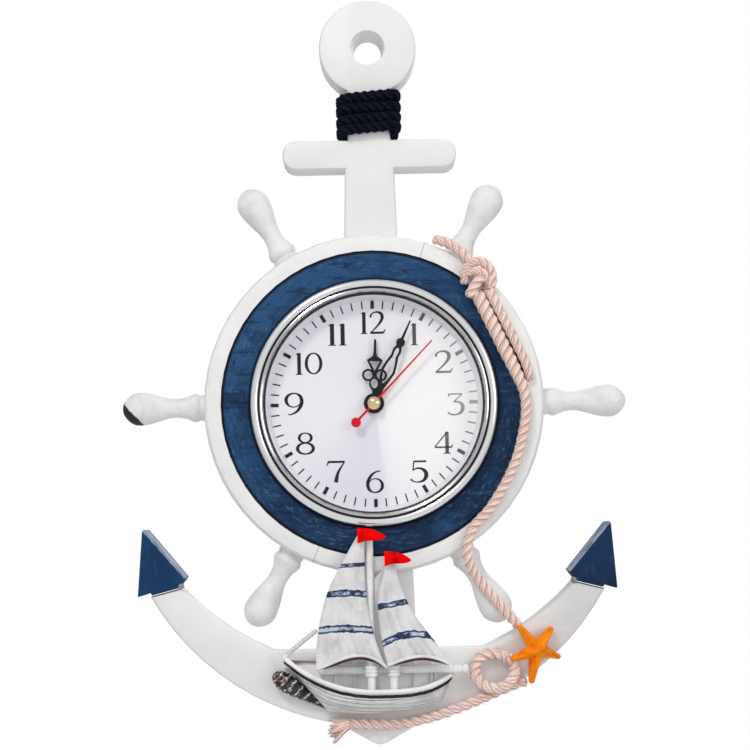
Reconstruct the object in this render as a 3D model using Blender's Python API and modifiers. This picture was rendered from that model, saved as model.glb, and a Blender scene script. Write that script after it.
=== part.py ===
"""Anchor wall clock: a ship's wheel on an anchor, with a sailing boat, ropes,
a starfish and a sea shell glued on, and a battery movement behind the dial.

Metres, +Z up. The wall is the plane Y = 0 and the clock faces -Y. The origin is
the point on the wall where the hanger at the stock carries the clock."""

import math

import bmesh
import bpy
from mathutils import Matrix, Vector

# Shared clearances and helpers' sizes
CLEAR = 0.0003            # gap between touching pieces
CUT_OVERRUN = 0.002       # how far a cutter passes the face it opens
BEVEL_PIECES = 2          # segments of a rounded moulding edge

# Anchor body, heights measured from the dial's axis
HANGER_TO_DIAL = 0.1165   # stock centre line above the dial's axis
BODY_DEPTH = 0.015
BODY_EDGE_ROUND = 0.002
EYE_R = 0.0226
EYE_ABOVE_STOCK = 0.0498
EYE_HOLE_FRONT_R = 0.0081
EYE_HOLE_BACK_R = 0.0064
EYE_POINTS = 40
NECK_HALF_WIDTH = 0.0100
STOCK_HALF_LENGTH = 0.0403
STOCK_HEIGHT = 0.0136
STOCK_END_ROUND = 0.0058
SHANK_HALF_WIDTH_TOP = 0.0113
SHANK_HALF_WIDTH_FOOT = 0.0175
CROTCH_DROP_SHARE = 0.9192   # crotch line below the dial's axis, of the inner arc's radius
CROTCH_FILLET = 0.007
ARM_ROOM = 0.0064         # between a handle's tip and the arms' inner arc
ARM_INNER_END = math.radians(42.6)
ARM_CROWN_THICK = 0.0252  # between the inner and the outer arc, on the middle line
ARM_OUTER_CENTRE_DROP = 0.028
ARM_OUTER_END = math.radians(29.3)
ARM_POINTS = 12
CROWN_HALF_WIDTH = 0.022
CROWN_DROP = 0.0104       # the point below the outer arc
CROWN_SHARES = ((1.0, 0.0), (0.8, 0.14), (0.14, 0.92), (0.05, 0.985))

# Flukes
FLUKE_LENGTH = 0.0303
FLUKE_DEPTH = 0.0158
FLUKE_EDGE_ROUND = 0.0016
# along the arm's end from its outer to its inner side, and away from the arm
FLUKE_SHARES = ((-0.425, 0.034), (-0.217, 0.045), (-0.215, 0.0), (0.183, 0.0),
                (0.355, 0.131), (-0.045, 0.985), (-0.077, 1.0), (-0.108, 0.965))

# Ship's wheel
RIM_LIP = 0.0083          # white border outside the navy ring
RIM_DEPTH = 0.024
RIM_EDGE_SHARES = ((0.964, 1.0), (0.982, 0.975), (0.995, 0.9), (1.0, 0.79),
                   (1.0, 0.3), (0.994, 0.1), (0.985, 0.0))
RIM_STEPS = 56
BORE_ROOM = 0.0005        # between the insert's cup and the hole for it
WEB_INSET = 0.0117        # from the rim's edge to the ring of the anchor body that carries it
WEB_THICK = 0.007
SHANK_STOP_ROOM = 0.0012  # from that ring to the thick shank
NAVY_RING_WIDTH = 0.0132  # shown outside the bezel
NAVY_RING_THICK = 0.003
HANDLE_COUNT = 6
HANDLE_LENGTH = 0.0384
HANDLE_BULB_R = 0.00766
HANDLE_DEPTH = 0.0125     # the handles' axes, from the wall
HANDLE_SHARES = ((0.0, 0.62), (0.035, 0.66), (0.075, 0.80), (0.12, 0.865), (0.165, 0.82),
                 (0.235, 0.68), (0.34, 0.625), (0.45, 0.68), (0.6, 0.89), (0.76, 1.0),
                 (0.87, 0.93), (0.95, 0.67), (1.0, 0.0))
HANDLE_STEPS = 14
SPOT_FACE_DEPTH = 0.0006  # flat under each handle in the round of the rim
TENON_R = 0.003
TENON_LENGTH = 0.006

# Clock insert
BEZEL_R = 0.0565
BEZEL_WIDTH = 0.0062
BEZEL_THICK = 0.0052
BEZEL_SHARES = ((0.0, 0.0), (0.0, 0.72), (0.10, 0.93), (0.24, 1.0), (0.38, 0.93), (0.50, 0.72),
                (0.62, 0.88), (0.76, 0.93), (0.88, 0.80), (1.0, 0.42), (1.0, 0.0))
BEZEL_STEPS = 48
CUP_INSET = 0.0055        # from the bezel's edge
CUP_WALL = 0.0012
CUP_FLOOR_DEPTH = 0.0170  # back of the cup's floor, from the wall
CUP_FLOOR_THICK = 0.0015
DIAL_THICK = 0.0005
LENS_THICK = 0.0012
LENS_CROWN = 0.0012       # rise of the lens at its middle
LENS_RINGS = 2
CUP_STEPS = 40

# Hands, lengths from the dial's axis, angles clockwise from twelve
HAND_THICK = 0.0004
HOUR_HAND_DEPTH = 0.0210  # backs of the hands, from the wall
MINUTE_HAND_DEPTH = 0.0222
SECOND_HAND_DEPTH = 0.0234
# lengths of the hands, of the radius that the bezel leaves open
HOUR_HAND_SHARE = 0.5845
MINUTE_HAND_SHARE = 0.8211
SECOND_HAND_SHARE = 0.7753
SECOND_TAIL_LENGTH = 0.0121
SECOND_TAIL_R = 0.0023
SECOND_HALF_WIDTH = 0.0006
HOUR_ANGLE = math.radians(2.1)
MINUTE_ANGLE = math.radians(24.7)
SECOND_ANGLE = math.radians(43.7)
HOUR_BOSS_R = 0.0046
MINUTE_BOSS_R = 0.0030
SECOND_BOSS_R = 0.0016
CAP_R = 0.0030
CAP_HEIGHT = 0.0014
SCROLL_R = 0.0028         # side scrolls of the hour hand
SCROLL_WIRE = 0.0008
SCROLL_PLACE_SHARES = (1.02, 0.44)
# hand outlines: across in shares of the scroll's radius, along in shares of the length
HOUR_SPEAR_SHARES = ((0.12, 1.0), (0.16, 0.97), (0.20, 0.80), (0.34, 0.735), (1.28, 0.675),
                     (0.0, 0.42))
HOUR_WINDOW_SHARES = ((0.86, 0.66), (0.0, 0.505))
HOUR_OVAL_SHARES = (0.85, 1.15)
HOUR_OVAL_PLACE_SHARE = 0.31
HOUR_NECK_SHARES = (0.12, 0.23)
MINUTE_TIP_SHARES = ((0.10, 1.0), (0.22, 0.74))
MINUTE_DISC_PLACE_SHARE = 0.735
MINUTE_PEAR_SHARES = ((0.42, 0.70), (0.70, 0.64), (0.62, 0.57), (0.95, 0.48), (1.15, 0.39),
                      (0.85, 0.29), (0.50, 0.20), (0.45, 0.055))
MINUTE_WINDOW_SHARES = ((0.14, 0.67), (0.38, 0.63), (0.28, 0.56), (0.62, 0.48), (0.80, 0.39),
                        (0.52, 0.30), (0.10, 0.24))
HAND_DISC_R = 0.0020      # disc on the minute hand

# Arbors and pipes about the dial's axis
SECOND_ARBOR_R = 0.0005
MINUTE_PIPE_R = 0.0013
MINUTE_PIPE_BORE_R = 0.0008
HOUR_PIPE_R = 0.0022
HOUR_PIPE_BORE_R = 0.0016
BUSHING_R = 0.0036
BUSHING_BORE_R = 0.0025
BUSHING_DEPTH = 0.0206
NUT_R = 0.0048
NUT_THICK = 0.0011
ARBOR_R = 0.0005
ARBOR_STEPS = 12

# Movement case
BATTERY_ROOM = 0.00205   # from each end of the battery to the case's wall
CASE_FRONT_DEPTH = 0.0167
CASE_WALL = 0.0012
CASE_BACK_DEPTH = 0.0032
COVER_THICK = 0.0012
BAY_WALL_DROP = 0.0107    # upper face of the wall over the battery bay
BAY_WALL_THICK = 0.001
BAY_FLOOR_THICK = 0.0004
PLATE_DEPTH = 0.0102      # back of the middle plate, from the wall
PLATE_THICK = 0.001
BATTERY_R = 0.0070
BATTERY_LENGTH = 0.0495
BATTERY_NUB_R = 0.0027
BATTERY_NUB_LENGTH = 0.001
BATTERY_BACK = 0.0018     # back of the cell, from the wall
CONTACT_THICK = 0.0004
CONTACT_HEIGHT = 0.009
CONTACT_WIDTH = 0.006
KNOB_R = 0.0065
KNOB_THICK = 0.0010
KNOB_ARBOR_R = 0.0008
KNOB_FLUTES = 12
KNOB_BACK = 0.0003        # clear of the wall

# Gear train: tooth numbers, the distances between axes and their directions
TEETH_SECOND = 30
TEETH_SECOND_PINION = 6
TEETH_THIRD = 45
TEETH_THIRD_PINION = 6
TEETH_CENTRE = 48
TEETH_CANNON = 8
TEETH_MOTION = 24
TEETH_MOTION_PINION = 8
TEETH_HOUR = 32
TEETH_KNOB = 8
TEETH_INTERMEDIATE = 36
TEETH_INTERMEDIATE_PINION = 6
TEETH_ROTOR_PINION = 6
THIRD_DISTANCE = 0.009
MOTION_DISTANCE = 0.008
INTERMEDIATE_DISTANCE = 0.0084
ROTOR_DISTANCE = 0.007
THIRD_DIRECTION = math.radians(90)
MOTION_DIRECTION = math.radians(200)
KNOB_DIRECTION = math.radians(180)
INTERMEDIATE_DIRECTION = math.radians(-20)
ROTOR_DIRECTION = math.radians(30)
TIP_SHARE = 0.75          # of the module, beyond the pitch circle
ROOT_SHARE = 1.25         # of the module, inside the pitch circle
WHEEL_THICK = 0.0008
PINION_THICK = 0.0009
HOUR_WHEEL_DEPTH = 0.0144 # backs of the wheels, from the wall
CANNON_DEPTH = 0.0129
CENTRE_WHEEL_DEPTH = 0.0117
THIRD_WHEEL_DEPTH = 0.0090
SECOND_WHEEL_DEPTH = 0.0077
INTERMEDIATE_WHEEL_DEPTH = 0.0065
ROTOR_DEPTH = 0.0041
ROTOR_THICK = 0.002
ROTOR_R = 0.0025
STATOR_DEPTH = 0.0049
STATOR_THICK = 0.0008
STATOR_GAP = 0.0005       # round the rotor
STATOR_BAR = 0.004
STATOR_HEIGHT = 0.0215    # from the rotor's axis to the upper bar's middle
STATOR_HALF_WIDTH = 0.0105
STATOR_POLE_R = 0.0048
COIL_LENGTH = 0.011
COIL_WIDTH = 0.0064
COIL_THICK = 0.0032
BOARD_WIDTH = 0.014
BOARD_HEIGHT = 0.018
BOARD_THICK = 0.0008
CRYSTAL_R = 0.001
CRYSTAL_LENGTH = 0.006
PEG_R = 0.001
PIVOT_DEPTH = 0.0004     # of an arbor's end in its bearing
BOARD_X = -0.015
BOARD_Z = 0.015
STUD_R = 0.0005

# Rope winding on the neck
WINDING_ROPE_R = 0.0022
WINDING_GAP = 0.0005      # between the neck and the rope
WINDING_TURNS = 4
WINDING_PITCH = 0.0049
WINDING_TOP = 0.0290      # start of the winding above the stock's middle
WINDING_CORNER = 0.0030
WINDING_LOOP_POINTS = 24

# Glued ropes; a route's points are (x, height, depth): on the wheel in shares of its radius
# and its depth, and on the arms above their inner arc
ROPE_R = 0.0025
ROPE_STEP = 0.0048
ROPE_ARC_STEPS = 2
WHEEL_ROPE_SHARES = ((0.6128, 0.6128, 1.1167), (0.6833, 0.4590, 1.1167), (0.7551, 0.3064, 1.1167),
              (0.8269, 0.1603, 1.1167), (0.8769, 0.0449, 1.1167), (0.8795, -0.0769, 1.1167),
              (0.8615, -0.1859, 1.1167), (0.8205, -0.3397, 1.1167), (0.7538, -0.4808, 1.1167),
              (0.6628, -0.6244, 1.1167), (0.5705, -0.7179, 1.1167), (0.5282, -0.8013, 1.1250),
              (0.5231, -0.8974, 1.0750), (0.5603, -0.9962, 0.9667), (0.6308, -1.0974, 0.9417),
              (0.7179, -1.1962, 0.9792), (0.7846, -1.2718, 0.8833), (0.8269, -1.3205, 0.7917))
TAIL_ROPE_SHARES = ((0.6949, 0.6308, 1.1250), (0.7692, 0.4782, 1.1250), (0.8372, 0.3359, 1.1250),
             (0.9000, 0.2051, 1.1250), (0.9282, 0.1333, 1.1250))
KNOT_END_SHARES = ((0.3718, 0.9513, 1.0000), (0.4423, 0.9333, 1.0000), (0.5103, 0.8872, 1.0208),
            (0.5641, 0.8269, 1.0708), (0.6026, 0.7756, 1.1167))
KNOT_CENTRE_SHARES = (0.6282, 0.7372, 1.1500)
KNOT_HALF_SIZE = (0.0060, 0.0070, 0.0032)
KNOT_BUD_SHARES = ((0.6026, 0.7051, 1.1333), (0.5718, 0.6667, 1.1250), (0.5462, 0.6346, 1.1208))
HULL_ROPE = ((-0.016, -0.0232, 0.0028), (-0.011, -0.0234, 0.0028), (-0.0019, -0.0239, 0.0028),
             (0.0104, -0.0236, 0.0028), (0.0226, -0.0212, 0.0028), (0.0349, -0.0175, 0.0028),
             (0.0472, -0.0127, 0.0028), (0.0596, -0.0077, 0.0028), (0.066, -0.0055, 0.0028))
LOOP_CENTRE = (0.0522, -0.0007, 0.0028)
LOOP_R = 0.0080
LOOP_START = math.radians(25)
LOOP_END = math.radians(325)
LOOP_CLIMB_START = math.radians(150)
LOOP_CLIMB_TURN = math.radians(75)
LOOP_POINTS = 22
TASSEL_LENGTH = 0.0115
TASSEL_END_R = 0.0042
ROPE_SPREAD_SHARE = 0.15  # of the rope's radius, halfway along the frayed end
TASSEL_POINT_SHARES = (1.0, 0.5)
TASSEL_TURN = math.radians(214)

# Starfish and sea shell; heights from the arms' inner arc
STAR_CENTRE = (0.0718, 0.0090)
STAR_ARM = 0.0140
STAR_ARM_SHARES = (0.97, 0.88, 0.84, 1.10, 0.95)
STAR_ARM_ANGLES = tuple(math.radians(angle) for angle in (127, 50, -17, -104, -159))
STAR_WAIST_SHARE = 0.34
STAR_TIP_R = 0.0014
STAR_THICK = 0.0040
STAR_EDGE_ROUND = 0.0012
STAR_RISE = 0.0047         # its back from the arms' front
STAR_TILT = math.radians(18)
# ends of the shell: from the hull's bow along, and above the arms' inner arc
SHELL_BLUNT = (-0.0049, -0.0011)
SHELL_TIP = (0.0183, -0.0168)
SHELL_R = 0.0040
SHELL_TIP_R = 0.0008
SHELL_WHORLS = 7
SHELL_BULGE_SHARE = 0.12
SHELL_STEPS = 12

# Sailing boat, a half model on the anchor's arms; heights from the arms' inner arc
HULL_HALF_LENGTH = 0.0382
HULL_MIDDLE_X = -0.0051
HULL_FRONT_RISE = 0.0151   # depth of the hull's front and ends, from the arms' front
HULL_END_RISE = 0.0055
HULL_STATIONS = 15
HULL_LOW_SHARE = 0.15     # lowest point of the sheer, toward the stern
SHEER_BOW = 0.0067
SHEER_STERN = -0.0019
SHEER_MIDDLE = -0.0087
# ends of the keel, of the half length from the hull's middle
KEEL_BOW_SHARE = -0.4843
KEEL_STERN_SHARE = 0.8665
KEEL_BOW = -0.0160
KEEL_STERN = -0.0130
KEEL_SAG = 0.0025
HULL_SECTION_SHARES = ((0.0, 0.0), (0.0, 1.0), (0.3, 0.97), (0.62, 0.84), (0.86, 0.6),
                       (1.0, 0.32), (1.0, 0.0))
PANEL_THICK = 0.0020
PANEL_TOP_BOW = 0.0060
PANEL_TOP_STERN = 0.0010
PANEL_RIBS = 6
RIB_WIDTH = 0.0012
RIB_THICK = 0.0009
GUNWALE_R = 0.0011
MAST_R = 0.0018
MAST_ROOM = 0.0004        # between the wheel's face and the masts
MAIN_MAST_X = -0.0035
MAIN_MAST_HEAD_ROOM = 0.0025    # from the bezel's edge down to the mast's head
AFT_MAST_X = 0.0066
AFT_MAST_DROP = 0.0110     # its head below the main mast's
MAST_STEPS = 12
LASHING_R = 0.0029
LASHING_HEIGHT = 0.0050
LASHING_TOP = 0.0035
LASHING_TURNS = 3
BOOM_R = 0.0016
BOOM_HEIGHT = 0.0022
BOOM_BOW_X = -0.0270
BOOM_END_X = 0.0372
BOOM_COLLAR_R = 0.0021
BOOM_BALL_R = 0.0019
BOOM_NECK_SHARE = 2.6     # from the boom's end to where the ball's neck starts, of its radius
SAIL_THICK = 0.0016
SAIL_BILLOW = 0.0022
SAIL_COLUMNS = 7
# rows of a sail from head to foot: left edge and right edge, of the hull's half length from
# its middle, and height, of its mast's top
FORE_SAIL_SHARES = ((-0.08115183, -0.0052356, 0.98110236), (-0.2434555, -0.01308901, 0.82992126),
                    (-0.35863874, -0.01570681, 0.71653543), (-0.46335079, -0.0104712, 0.5984252),
                    (-0.55235602, 0.02356021, 0.44094488), (-0.59947644, 0.07068063, 0.29133858),
                    (-0.61518325, 0.13874346, 0.1496063), (-0.60471204, 0.21204188, 0.03149606))
AFT_SAIL_SHARES = ((0.2382199, 0.34031414, 0.95809524), (0.18062827, 0.38219895, 0.8),
                   (0.13874346, 0.45549738, 0.64761905), (0.14921466, 0.56544503, 0.4952381),
                   (0.16492147, 0.72251309, 0.34285714), (0.19109948, 0.84554974, 0.22857143),
                   (0.22774869, 0.94502618, 0.11428571))
FOOT_ARCH_SHARE = 0.18    # rise of a sail's foot at its middle, of its width
STAYSAIL_SHARES = ((0.09947644, 0.66929134), (0.21204188, 0.74488189), (0.14659686, 0.59055118),
                   (0.10732984, 0.46456693))
STAYSAIL_THICK = 0.0010
PENNANT_THICK = 0.0016
PENNANT_LENGTH = 0.0128
PENNANT_HEIGHT = 0.0072
PENNANT_SHARES = ((0.0, 0.5), (0.3, 0.42), (0.62, 0.28), (0.9, 0.10), (1.0, 0.0))
# middle of each hoist, as a sail's rows, and its back in front of the sail's back
MAIN_PENNANT_SHARES = (-0.096859, 0.984252)
MAIN_PENNANT_LIFT = 0.0028
AFT_PENNANT_SHARES = (0.212042, 0.984762)
AFT_PENNANT_LIFT = 0.0031
STAY_R = 0.0009
# points of the stay: from the hull's bow along, of the half length, height of the mast and
# depth of the way from the hull's end to its front
STAY_SHARES = ((0.03403141, 0.14488189, -0.05208333), (0.20157068, 0.21574803, 0.40625),
               (0.37696335, 0.29133858, 0.88541667))

# Hanger in the back of the stock
HANGER_LENGTH = 0.044
HANGER_HEIGHT = 0.008
HANGER_THICK = 0.0008
HANGER_TEETH = 11
HANGER_TOOTH_DEPTH = 0.0012
HANGER_RECESS_DEPTH = 0.0024
NAIL_R = 0.0008
NAIL_HEAD_R = 0.0019
NAIL_HEAD_THICK = 0.0005
NAIL_LENGTH = 0.007
NAIL_INSET = 0.0028

# Derived places
CASE_HALF = BATTERY_LENGTH / 2 + BATTERY_ROOM + CASE_WALL
HULL_FRONT_DEPTH = BODY_DEPTH + HULL_FRONT_RISE
HULL_END_DEPTH = BODY_DEPTH + HULL_END_RISE
STAR_BACK_DEPTH = BODY_DEPTH + STAR_RISE
MAST_DEPTH = RIM_DEPTH + MAST_R + MAST_ROOM
KEEL_BOW_X = HULL_MIDDLE_X + HULL_HALF_LENGTH * KEEL_BOW_SHARE
KEEL_STERN_X = HULL_MIDDLE_X + HULL_HALF_LENGTH * KEEL_STERN_SHARE
BEZEL_OPENING_R = BEZEL_R - BEZEL_WIDTH
CUP_R = BEZEL_R - CUP_INSET
BORE_R = CUP_R + BORE_ROOM
HOUR_HAND_LENGTH = BEZEL_OPENING_R * HOUR_HAND_SHARE
MINUTE_HAND_LENGTH = BEZEL_OPENING_R * MINUTE_HAND_SHARE
SECOND_HAND_LENGTH = BEZEL_OPENING_R * SECOND_HAND_SHARE
NAVY_RING_R = BEZEL_R + NAVY_RING_WIDTH
RIM_R = NAVY_RING_R + RIM_LIP
WEB_R = RIM_R - WEB_INSET
SHANK_STOP = WEB_R + SHANK_STOP_ROOM
HANDLE_TIP = RIM_R - SPOT_FACE_DEPTH + CLEAR + HANDLE_LENGTH
ARM_INNER_R = HANDLE_TIP + ARM_ROOM
ARM_OUTER_R = ARM_INNER_R + ARM_CROWN_THICK - ARM_OUTER_CENTRE_DROP
CROTCH_DROP = ARM_INNER_R * CROTCH_DROP_SHARE
DIAL_Z = -HANGER_TO_DIAL
GLUED_Z = DIAL_Z - ARM_INNER_R    # the arms' inner arc on the middle line
MAIN_MAST_TOP = ARM_INNER_R - BEZEL_R - MAIN_MAST_HEAD_ROOM
AFT_MAST_TOP = MAIN_MAST_TOP - AFT_MAST_DROP
EYE_Z = EYE_ABOVE_STOCK + HANGER_TO_DIAL      # from the dial's axis
WAIST_BACK = 2 * WINDING_ROPE_R + WINDING_GAP + CLEAR
NAVY_BACK_DEPTH = RIM_DEPTH - NAVY_RING_THICK
CUP_FLOOR_FRONT = CUP_FLOOR_DEPTH + CUP_FLOOR_THICK
DIAL_BACK_DEPTH = CUP_FLOOR_FRONT + CLEAR
BEZEL_BACK_DEPTH = RIM_DEPTH + CLEAR
BEZEL_FRONT_DEPTH = BEZEL_BACK_DEPTH + BEZEL_THICK
MAST_FRONT = MAST_DEPTH + MAST_R + CLEAR
TAU = 2 * math.pi

# Tolerances of the meshes
WELD = 0.000002
FLAT_ANGLE = math.radians(0.2)
SHARP_ANGLE = math.radians(60)


def clear_scene():
    for obj in list(bpy.data.objects):
        bpy.data.objects.remove(obj, do_unlink=True)


def new_collection(name):
    group = bpy.data.collections.new(name)
    bpy.context.scene.collection.children.link(group)
    return group


def make_material(name, colour, roughness, metallic=0.0):
    mat = bpy.data.materials.new(name)
    mat.use_nodes = True
    shader = mat.node_tree.nodes["Principled BSDF"]
    shader.inputs["Base Color"].default_value = (*colour, 1.0)
    shader.inputs["Roughness"].default_value = roughness
    shader.inputs["Metallic"].default_value = metallic
    mat.diffuse_color = (*colour, 1.0)
    return mat


def face_frame(x=0.0, height=0.0, turn=0.0):
    """Local X right, Y up, Z out of the wall, from a point given from the dial's axis."""
    return (Matrix.Translation((x, 0.0, DIAL_Z + height))
            @ Matrix.Rotation(math.pi / 2, 4, 'X') @ Matrix.Rotation(turn, 4, 'Z'))


def on_wheel(points):
    """Shares of the wheel's radius and depth, turned into metres."""
    return [(x * RIM_R, height * RIM_R, depth * RIM_DEPTH) for x, height, depth in points]


def from_arms(points):
    """Heights above the arms' inner arc, turned into heights from the dial's axis."""
    return [(point[0], point[1] - ARM_INNER_R) + tuple(point[2:]) for point in points]


def on_hull(points, top):
    """Shares of the hull's half length and of a mast's top, turned into places above the arms."""
    return [(HULL_MIDDLE_X + x * HULL_HALF_LENGTH, height * top) for x, height in points]


def finish_piece(obj, colour, roughness, metallic=0.0):
    obj.data.materials.append(make_material(obj.name + "_finish", colour, roughness, metallic))
    return obj


def link_mesh(name, mesh, matrix=None):
    obj = bpy.data.objects.new(name, mesh)
    PARTS.objects.link(obj)
    obj.matrix_world = matrix if matrix is not None else face_frame()
    return obj


def as_cutter(obj):
    for group in obj.users_collection:
        group.objects.unlink(obj)
    CUTTERS.objects.link(obj)
    obj.hide_render = True
    obj.display_type = 'WIRE'
    return obj


def boolean(target, tool, operation):
    as_cutter(tool)
    mod = target.modifiers.new(tool.name, 'BOOLEAN')
    mod.operation = operation
    mod.solver = 'EXACT'
    mod.object = tool
    return target


def subtract(target, tool):
    return boolean(target, tool, 'DIFFERENCE')


def unite(target, tool):
    return boolean(target, tool, 'UNION')


def signed_area(points):
    total = 0.0
    for (x0, y0), (x1, y1) in zip(points, points[1:] + points[:1]):
        total += x0 * y1 - x1 * y0
    return total / 2


def arc(centre, radius, start, end, count):
    """Points along an arc, both ends included."""
    return [(centre[0] + radius * math.cos(start + (end - start) * i / (count - 1)),
             centre[1] + radius * math.sin(start + (end - start) * i / (count - 1)))
            for i in range(count)]


def circle(radius, count, centre=(0.0, 0.0)):
    return [(centre[0] + radius * math.cos(TAU * i / count),
             centre[1] + radius * math.sin(TAU * i / count)) for i in range(count)]


def curve_mesh(name, curve):
    """The closed mesh of a curve, with its caps welded on."""
    holder = bpy.data.objects.new(name, curve)
    PARTS.objects.link(holder)
    graph = bpy.context.evaluated_depsgraph_get()
    mesh = bpy.data.meshes.new_from_object(holder.evaluated_get(graph))
    bpy.data.objects.remove(holder, do_unlink=True)
    bpy.data.curves.remove(curve)
    form = bmesh.new()
    form.from_mesh(mesh)
    bmesh.ops.remove_doubles(form, verts=form.verts, dist=WELD)
    bmesh.ops.dissolve_degenerate(form, edges=form.edges, dist=WELD)
    bmesh.ops.recalc_face_normals(form, faces=form.faces)
    form.to_mesh(mesh)
    form.free()
    mesh.name = name
    return mesh


def prism_mesh(name, outline, back, front):
    """A closed mesh between two equal flat outlines."""
    points = outline if signed_area(outline) > 0.0 else outline[::-1]
    mesh = bpy.data.meshes.new(name)
    form = bmesh.new()
    low = [form.verts.new((x, y, back)) for x, y in points]
    high = [form.verts.new((x, y, front)) for x, y in points]
    form.faces.new(low[::-1])
    form.faces.new(high)
    for i in range(len(points)):
        j = (i + 1) % len(points)
        form.faces.new((low[i], low[j], high[j], high[i]))
    form.to_mesh(mesh)
    form.free()
    return mesh


def filled_mesh(name, loops, back, thick):
    """A closed mesh between two flat outlines with holes."""
    curve = bpy.data.curves.new(name, 'CURVE')
    curve.dimensions = '2D'
    curve.fill_mode = 'BOTH'
    curve.extrude = thick / 2
    for loop in loops:
        spline = curve.splines.new('POLY')
        spline.points.add(len(loop) - 1)
        for point, (x, y) in zip(spline.points, loop):
            point.co = (x, y, 0.0, 1.0)
        spline.use_cyclic_u = True
    mesh = curve_mesh(name, curve)
    for vertex in mesh.vertices:
        vertex.co.z = back if vertex.co.z < 0.0 else back + thick
    return mesh


def plate(name, loops, back, thick, edge_round=0.0, matrix=None):
    """A flat outline, with holes if more loops are given, and its front edge rounded."""
    if len(loops) == 1:
        mesh = prism_mesh(name, loops[0], back, back + thick)
    else:
        mesh = filled_mesh(name, loops, back, thick)
    obj = link_mesh(name, mesh, matrix)
    if edge_round > 0.0:
        round_front(obj, edge_round)
    return obj


def round_front(obj, width):
    """Bevel the edges round the front face of a plate."""
    mesh = obj.data
    form = bmesh.new()
    form.from_mesh(mesh)
    front = max(v.co.z for v in form.verts)
    bmesh.ops.dissolve_limit(form, angle_limit=FLAT_ANGLE, verts=form.verts, edges=form.edges)
    weight = form.edges.layers.float.new("bevel_weight_edge")
    for edge in form.edges:
        on_front = all(abs(v.co.z - front) < WELD for v in edge.verts)
        if on_front and edge.calc_face_angle(0.0) > SHARP_ANGLE:
            edge[weight] = 1.0
    form.to_mesh(mesh)
    form.free()
    mod = obj.modifiers.new("rounded_edge", 'BEVEL')
    mod.width = width
    mod.segments = BEVEL_PIECES
    mod.limit_method = 'WEIGHT'


def turned(name, profile, steps, matrix=None):
    """A turned piece; the profile is (radius, height along the axis) and closes itself."""
    points = list(profile)
    if signed_area(points) > 0.0:
        points.reverse()
    on_axis = [i for i, (radius, _) in enumerate(points) if radius == 0.0]
    if on_axis:
        first = next(i for i in on_axis if points[i - 1][0] == 0.0)
        points = points[first:] + points[:first]
    edges = [(i, i + 1) for i in range(len(points) - 1)]
    if not on_axis:
        edges.append((len(points) - 1, 0))
    mesh = bpy.data.meshes.new(name)
    mesh.from_pydata([(radius, 0.0, height) for radius, height in points], edges, [])
    obj = link_mesh(name, mesh, matrix)
    mod = obj.modifiers.new("turn", 'SCREW')
    mod.axis = 'Z'
    mod.angle = TAU
    mod.steps = steps
    mod.render_steps = steps
    mod.use_merge_vertices = True
    mod.merge_threshold = WELD
    return obj


def cylinder(name, radius, back, front, steps, matrix=None):
    return turned(name, [(0.0, back), (radius, back), (radius, front), (0.0, front)],
                  steps, matrix)


def box(name, low, high, matrix=None):
    mesh = bpy.data.meshes.new(name)
    form = bmesh.new()
    bmesh.ops.create_cube(form, size=1.0)
    for vertex in form.verts:
        vertex.co = [high[i] if vertex.co[i] > 0.0 else low[i] for i in range(3)]
    form.to_mesh(mesh)
    form.free()
    return link_mesh(name, mesh, matrix)


def tube_curve(name, points, radius, resolution, radii=None):
    curve = bpy.data.curves.new(name, 'CURVE')
    curve.dimensions = '3D'
    curve.bevel_depth = radius
    curve.bevel_resolution = resolution
    curve.use_fill_caps = True
    spline = curve.splines.new('POLY')
    spline.points.add(len(points) - 1)
    for i, (point, place) in enumerate(zip(spline.points, points)):
        point.co = (*place, 1.0)
        if radii:
            point.radius = radii[i]
    return curve


def tube(name, points, radius, resolution, radii=None, matrix=None):
    return link_mesh(name, tube_curve(name, points, radius, resolution, radii), matrix)


def solid_tube(name, points, radius, resolution, radii=None, matrix=None):
    """A tube as a closed mesh, for a Boolean."""
    mesh = curve_mesh(name, tube_curve(name, points, radius, resolution, radii))
    return link_mesh(name, mesh, matrix)


# Anchor

def shank_half_width(height):
    """Half width of the tapered shank at a height from the dial's axis."""
    share = (HANGER_TO_DIAL - height) / (HANGER_TO_DIAL + CROTCH_DROP)
    return SHANK_HALF_WIDTH_TOP + (SHANK_HALF_WIDTH_FOOT - SHANK_HALF_WIDTH_TOP) * share


def arm_end():
    """Outer and inner corners of the right arm's end, from the dial's axis."""
    outer = (ARM_OUTER_R * math.cos(ARM_OUTER_END),
             -ARM_OUTER_CENTRE_DROP - ARM_OUTER_R * math.sin(ARM_OUTER_END))
    inner = (ARM_INNER_R * math.cos(ARM_INNER_END), -ARM_INNER_R * math.sin(ARM_INNER_END))
    return outer, inner


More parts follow.
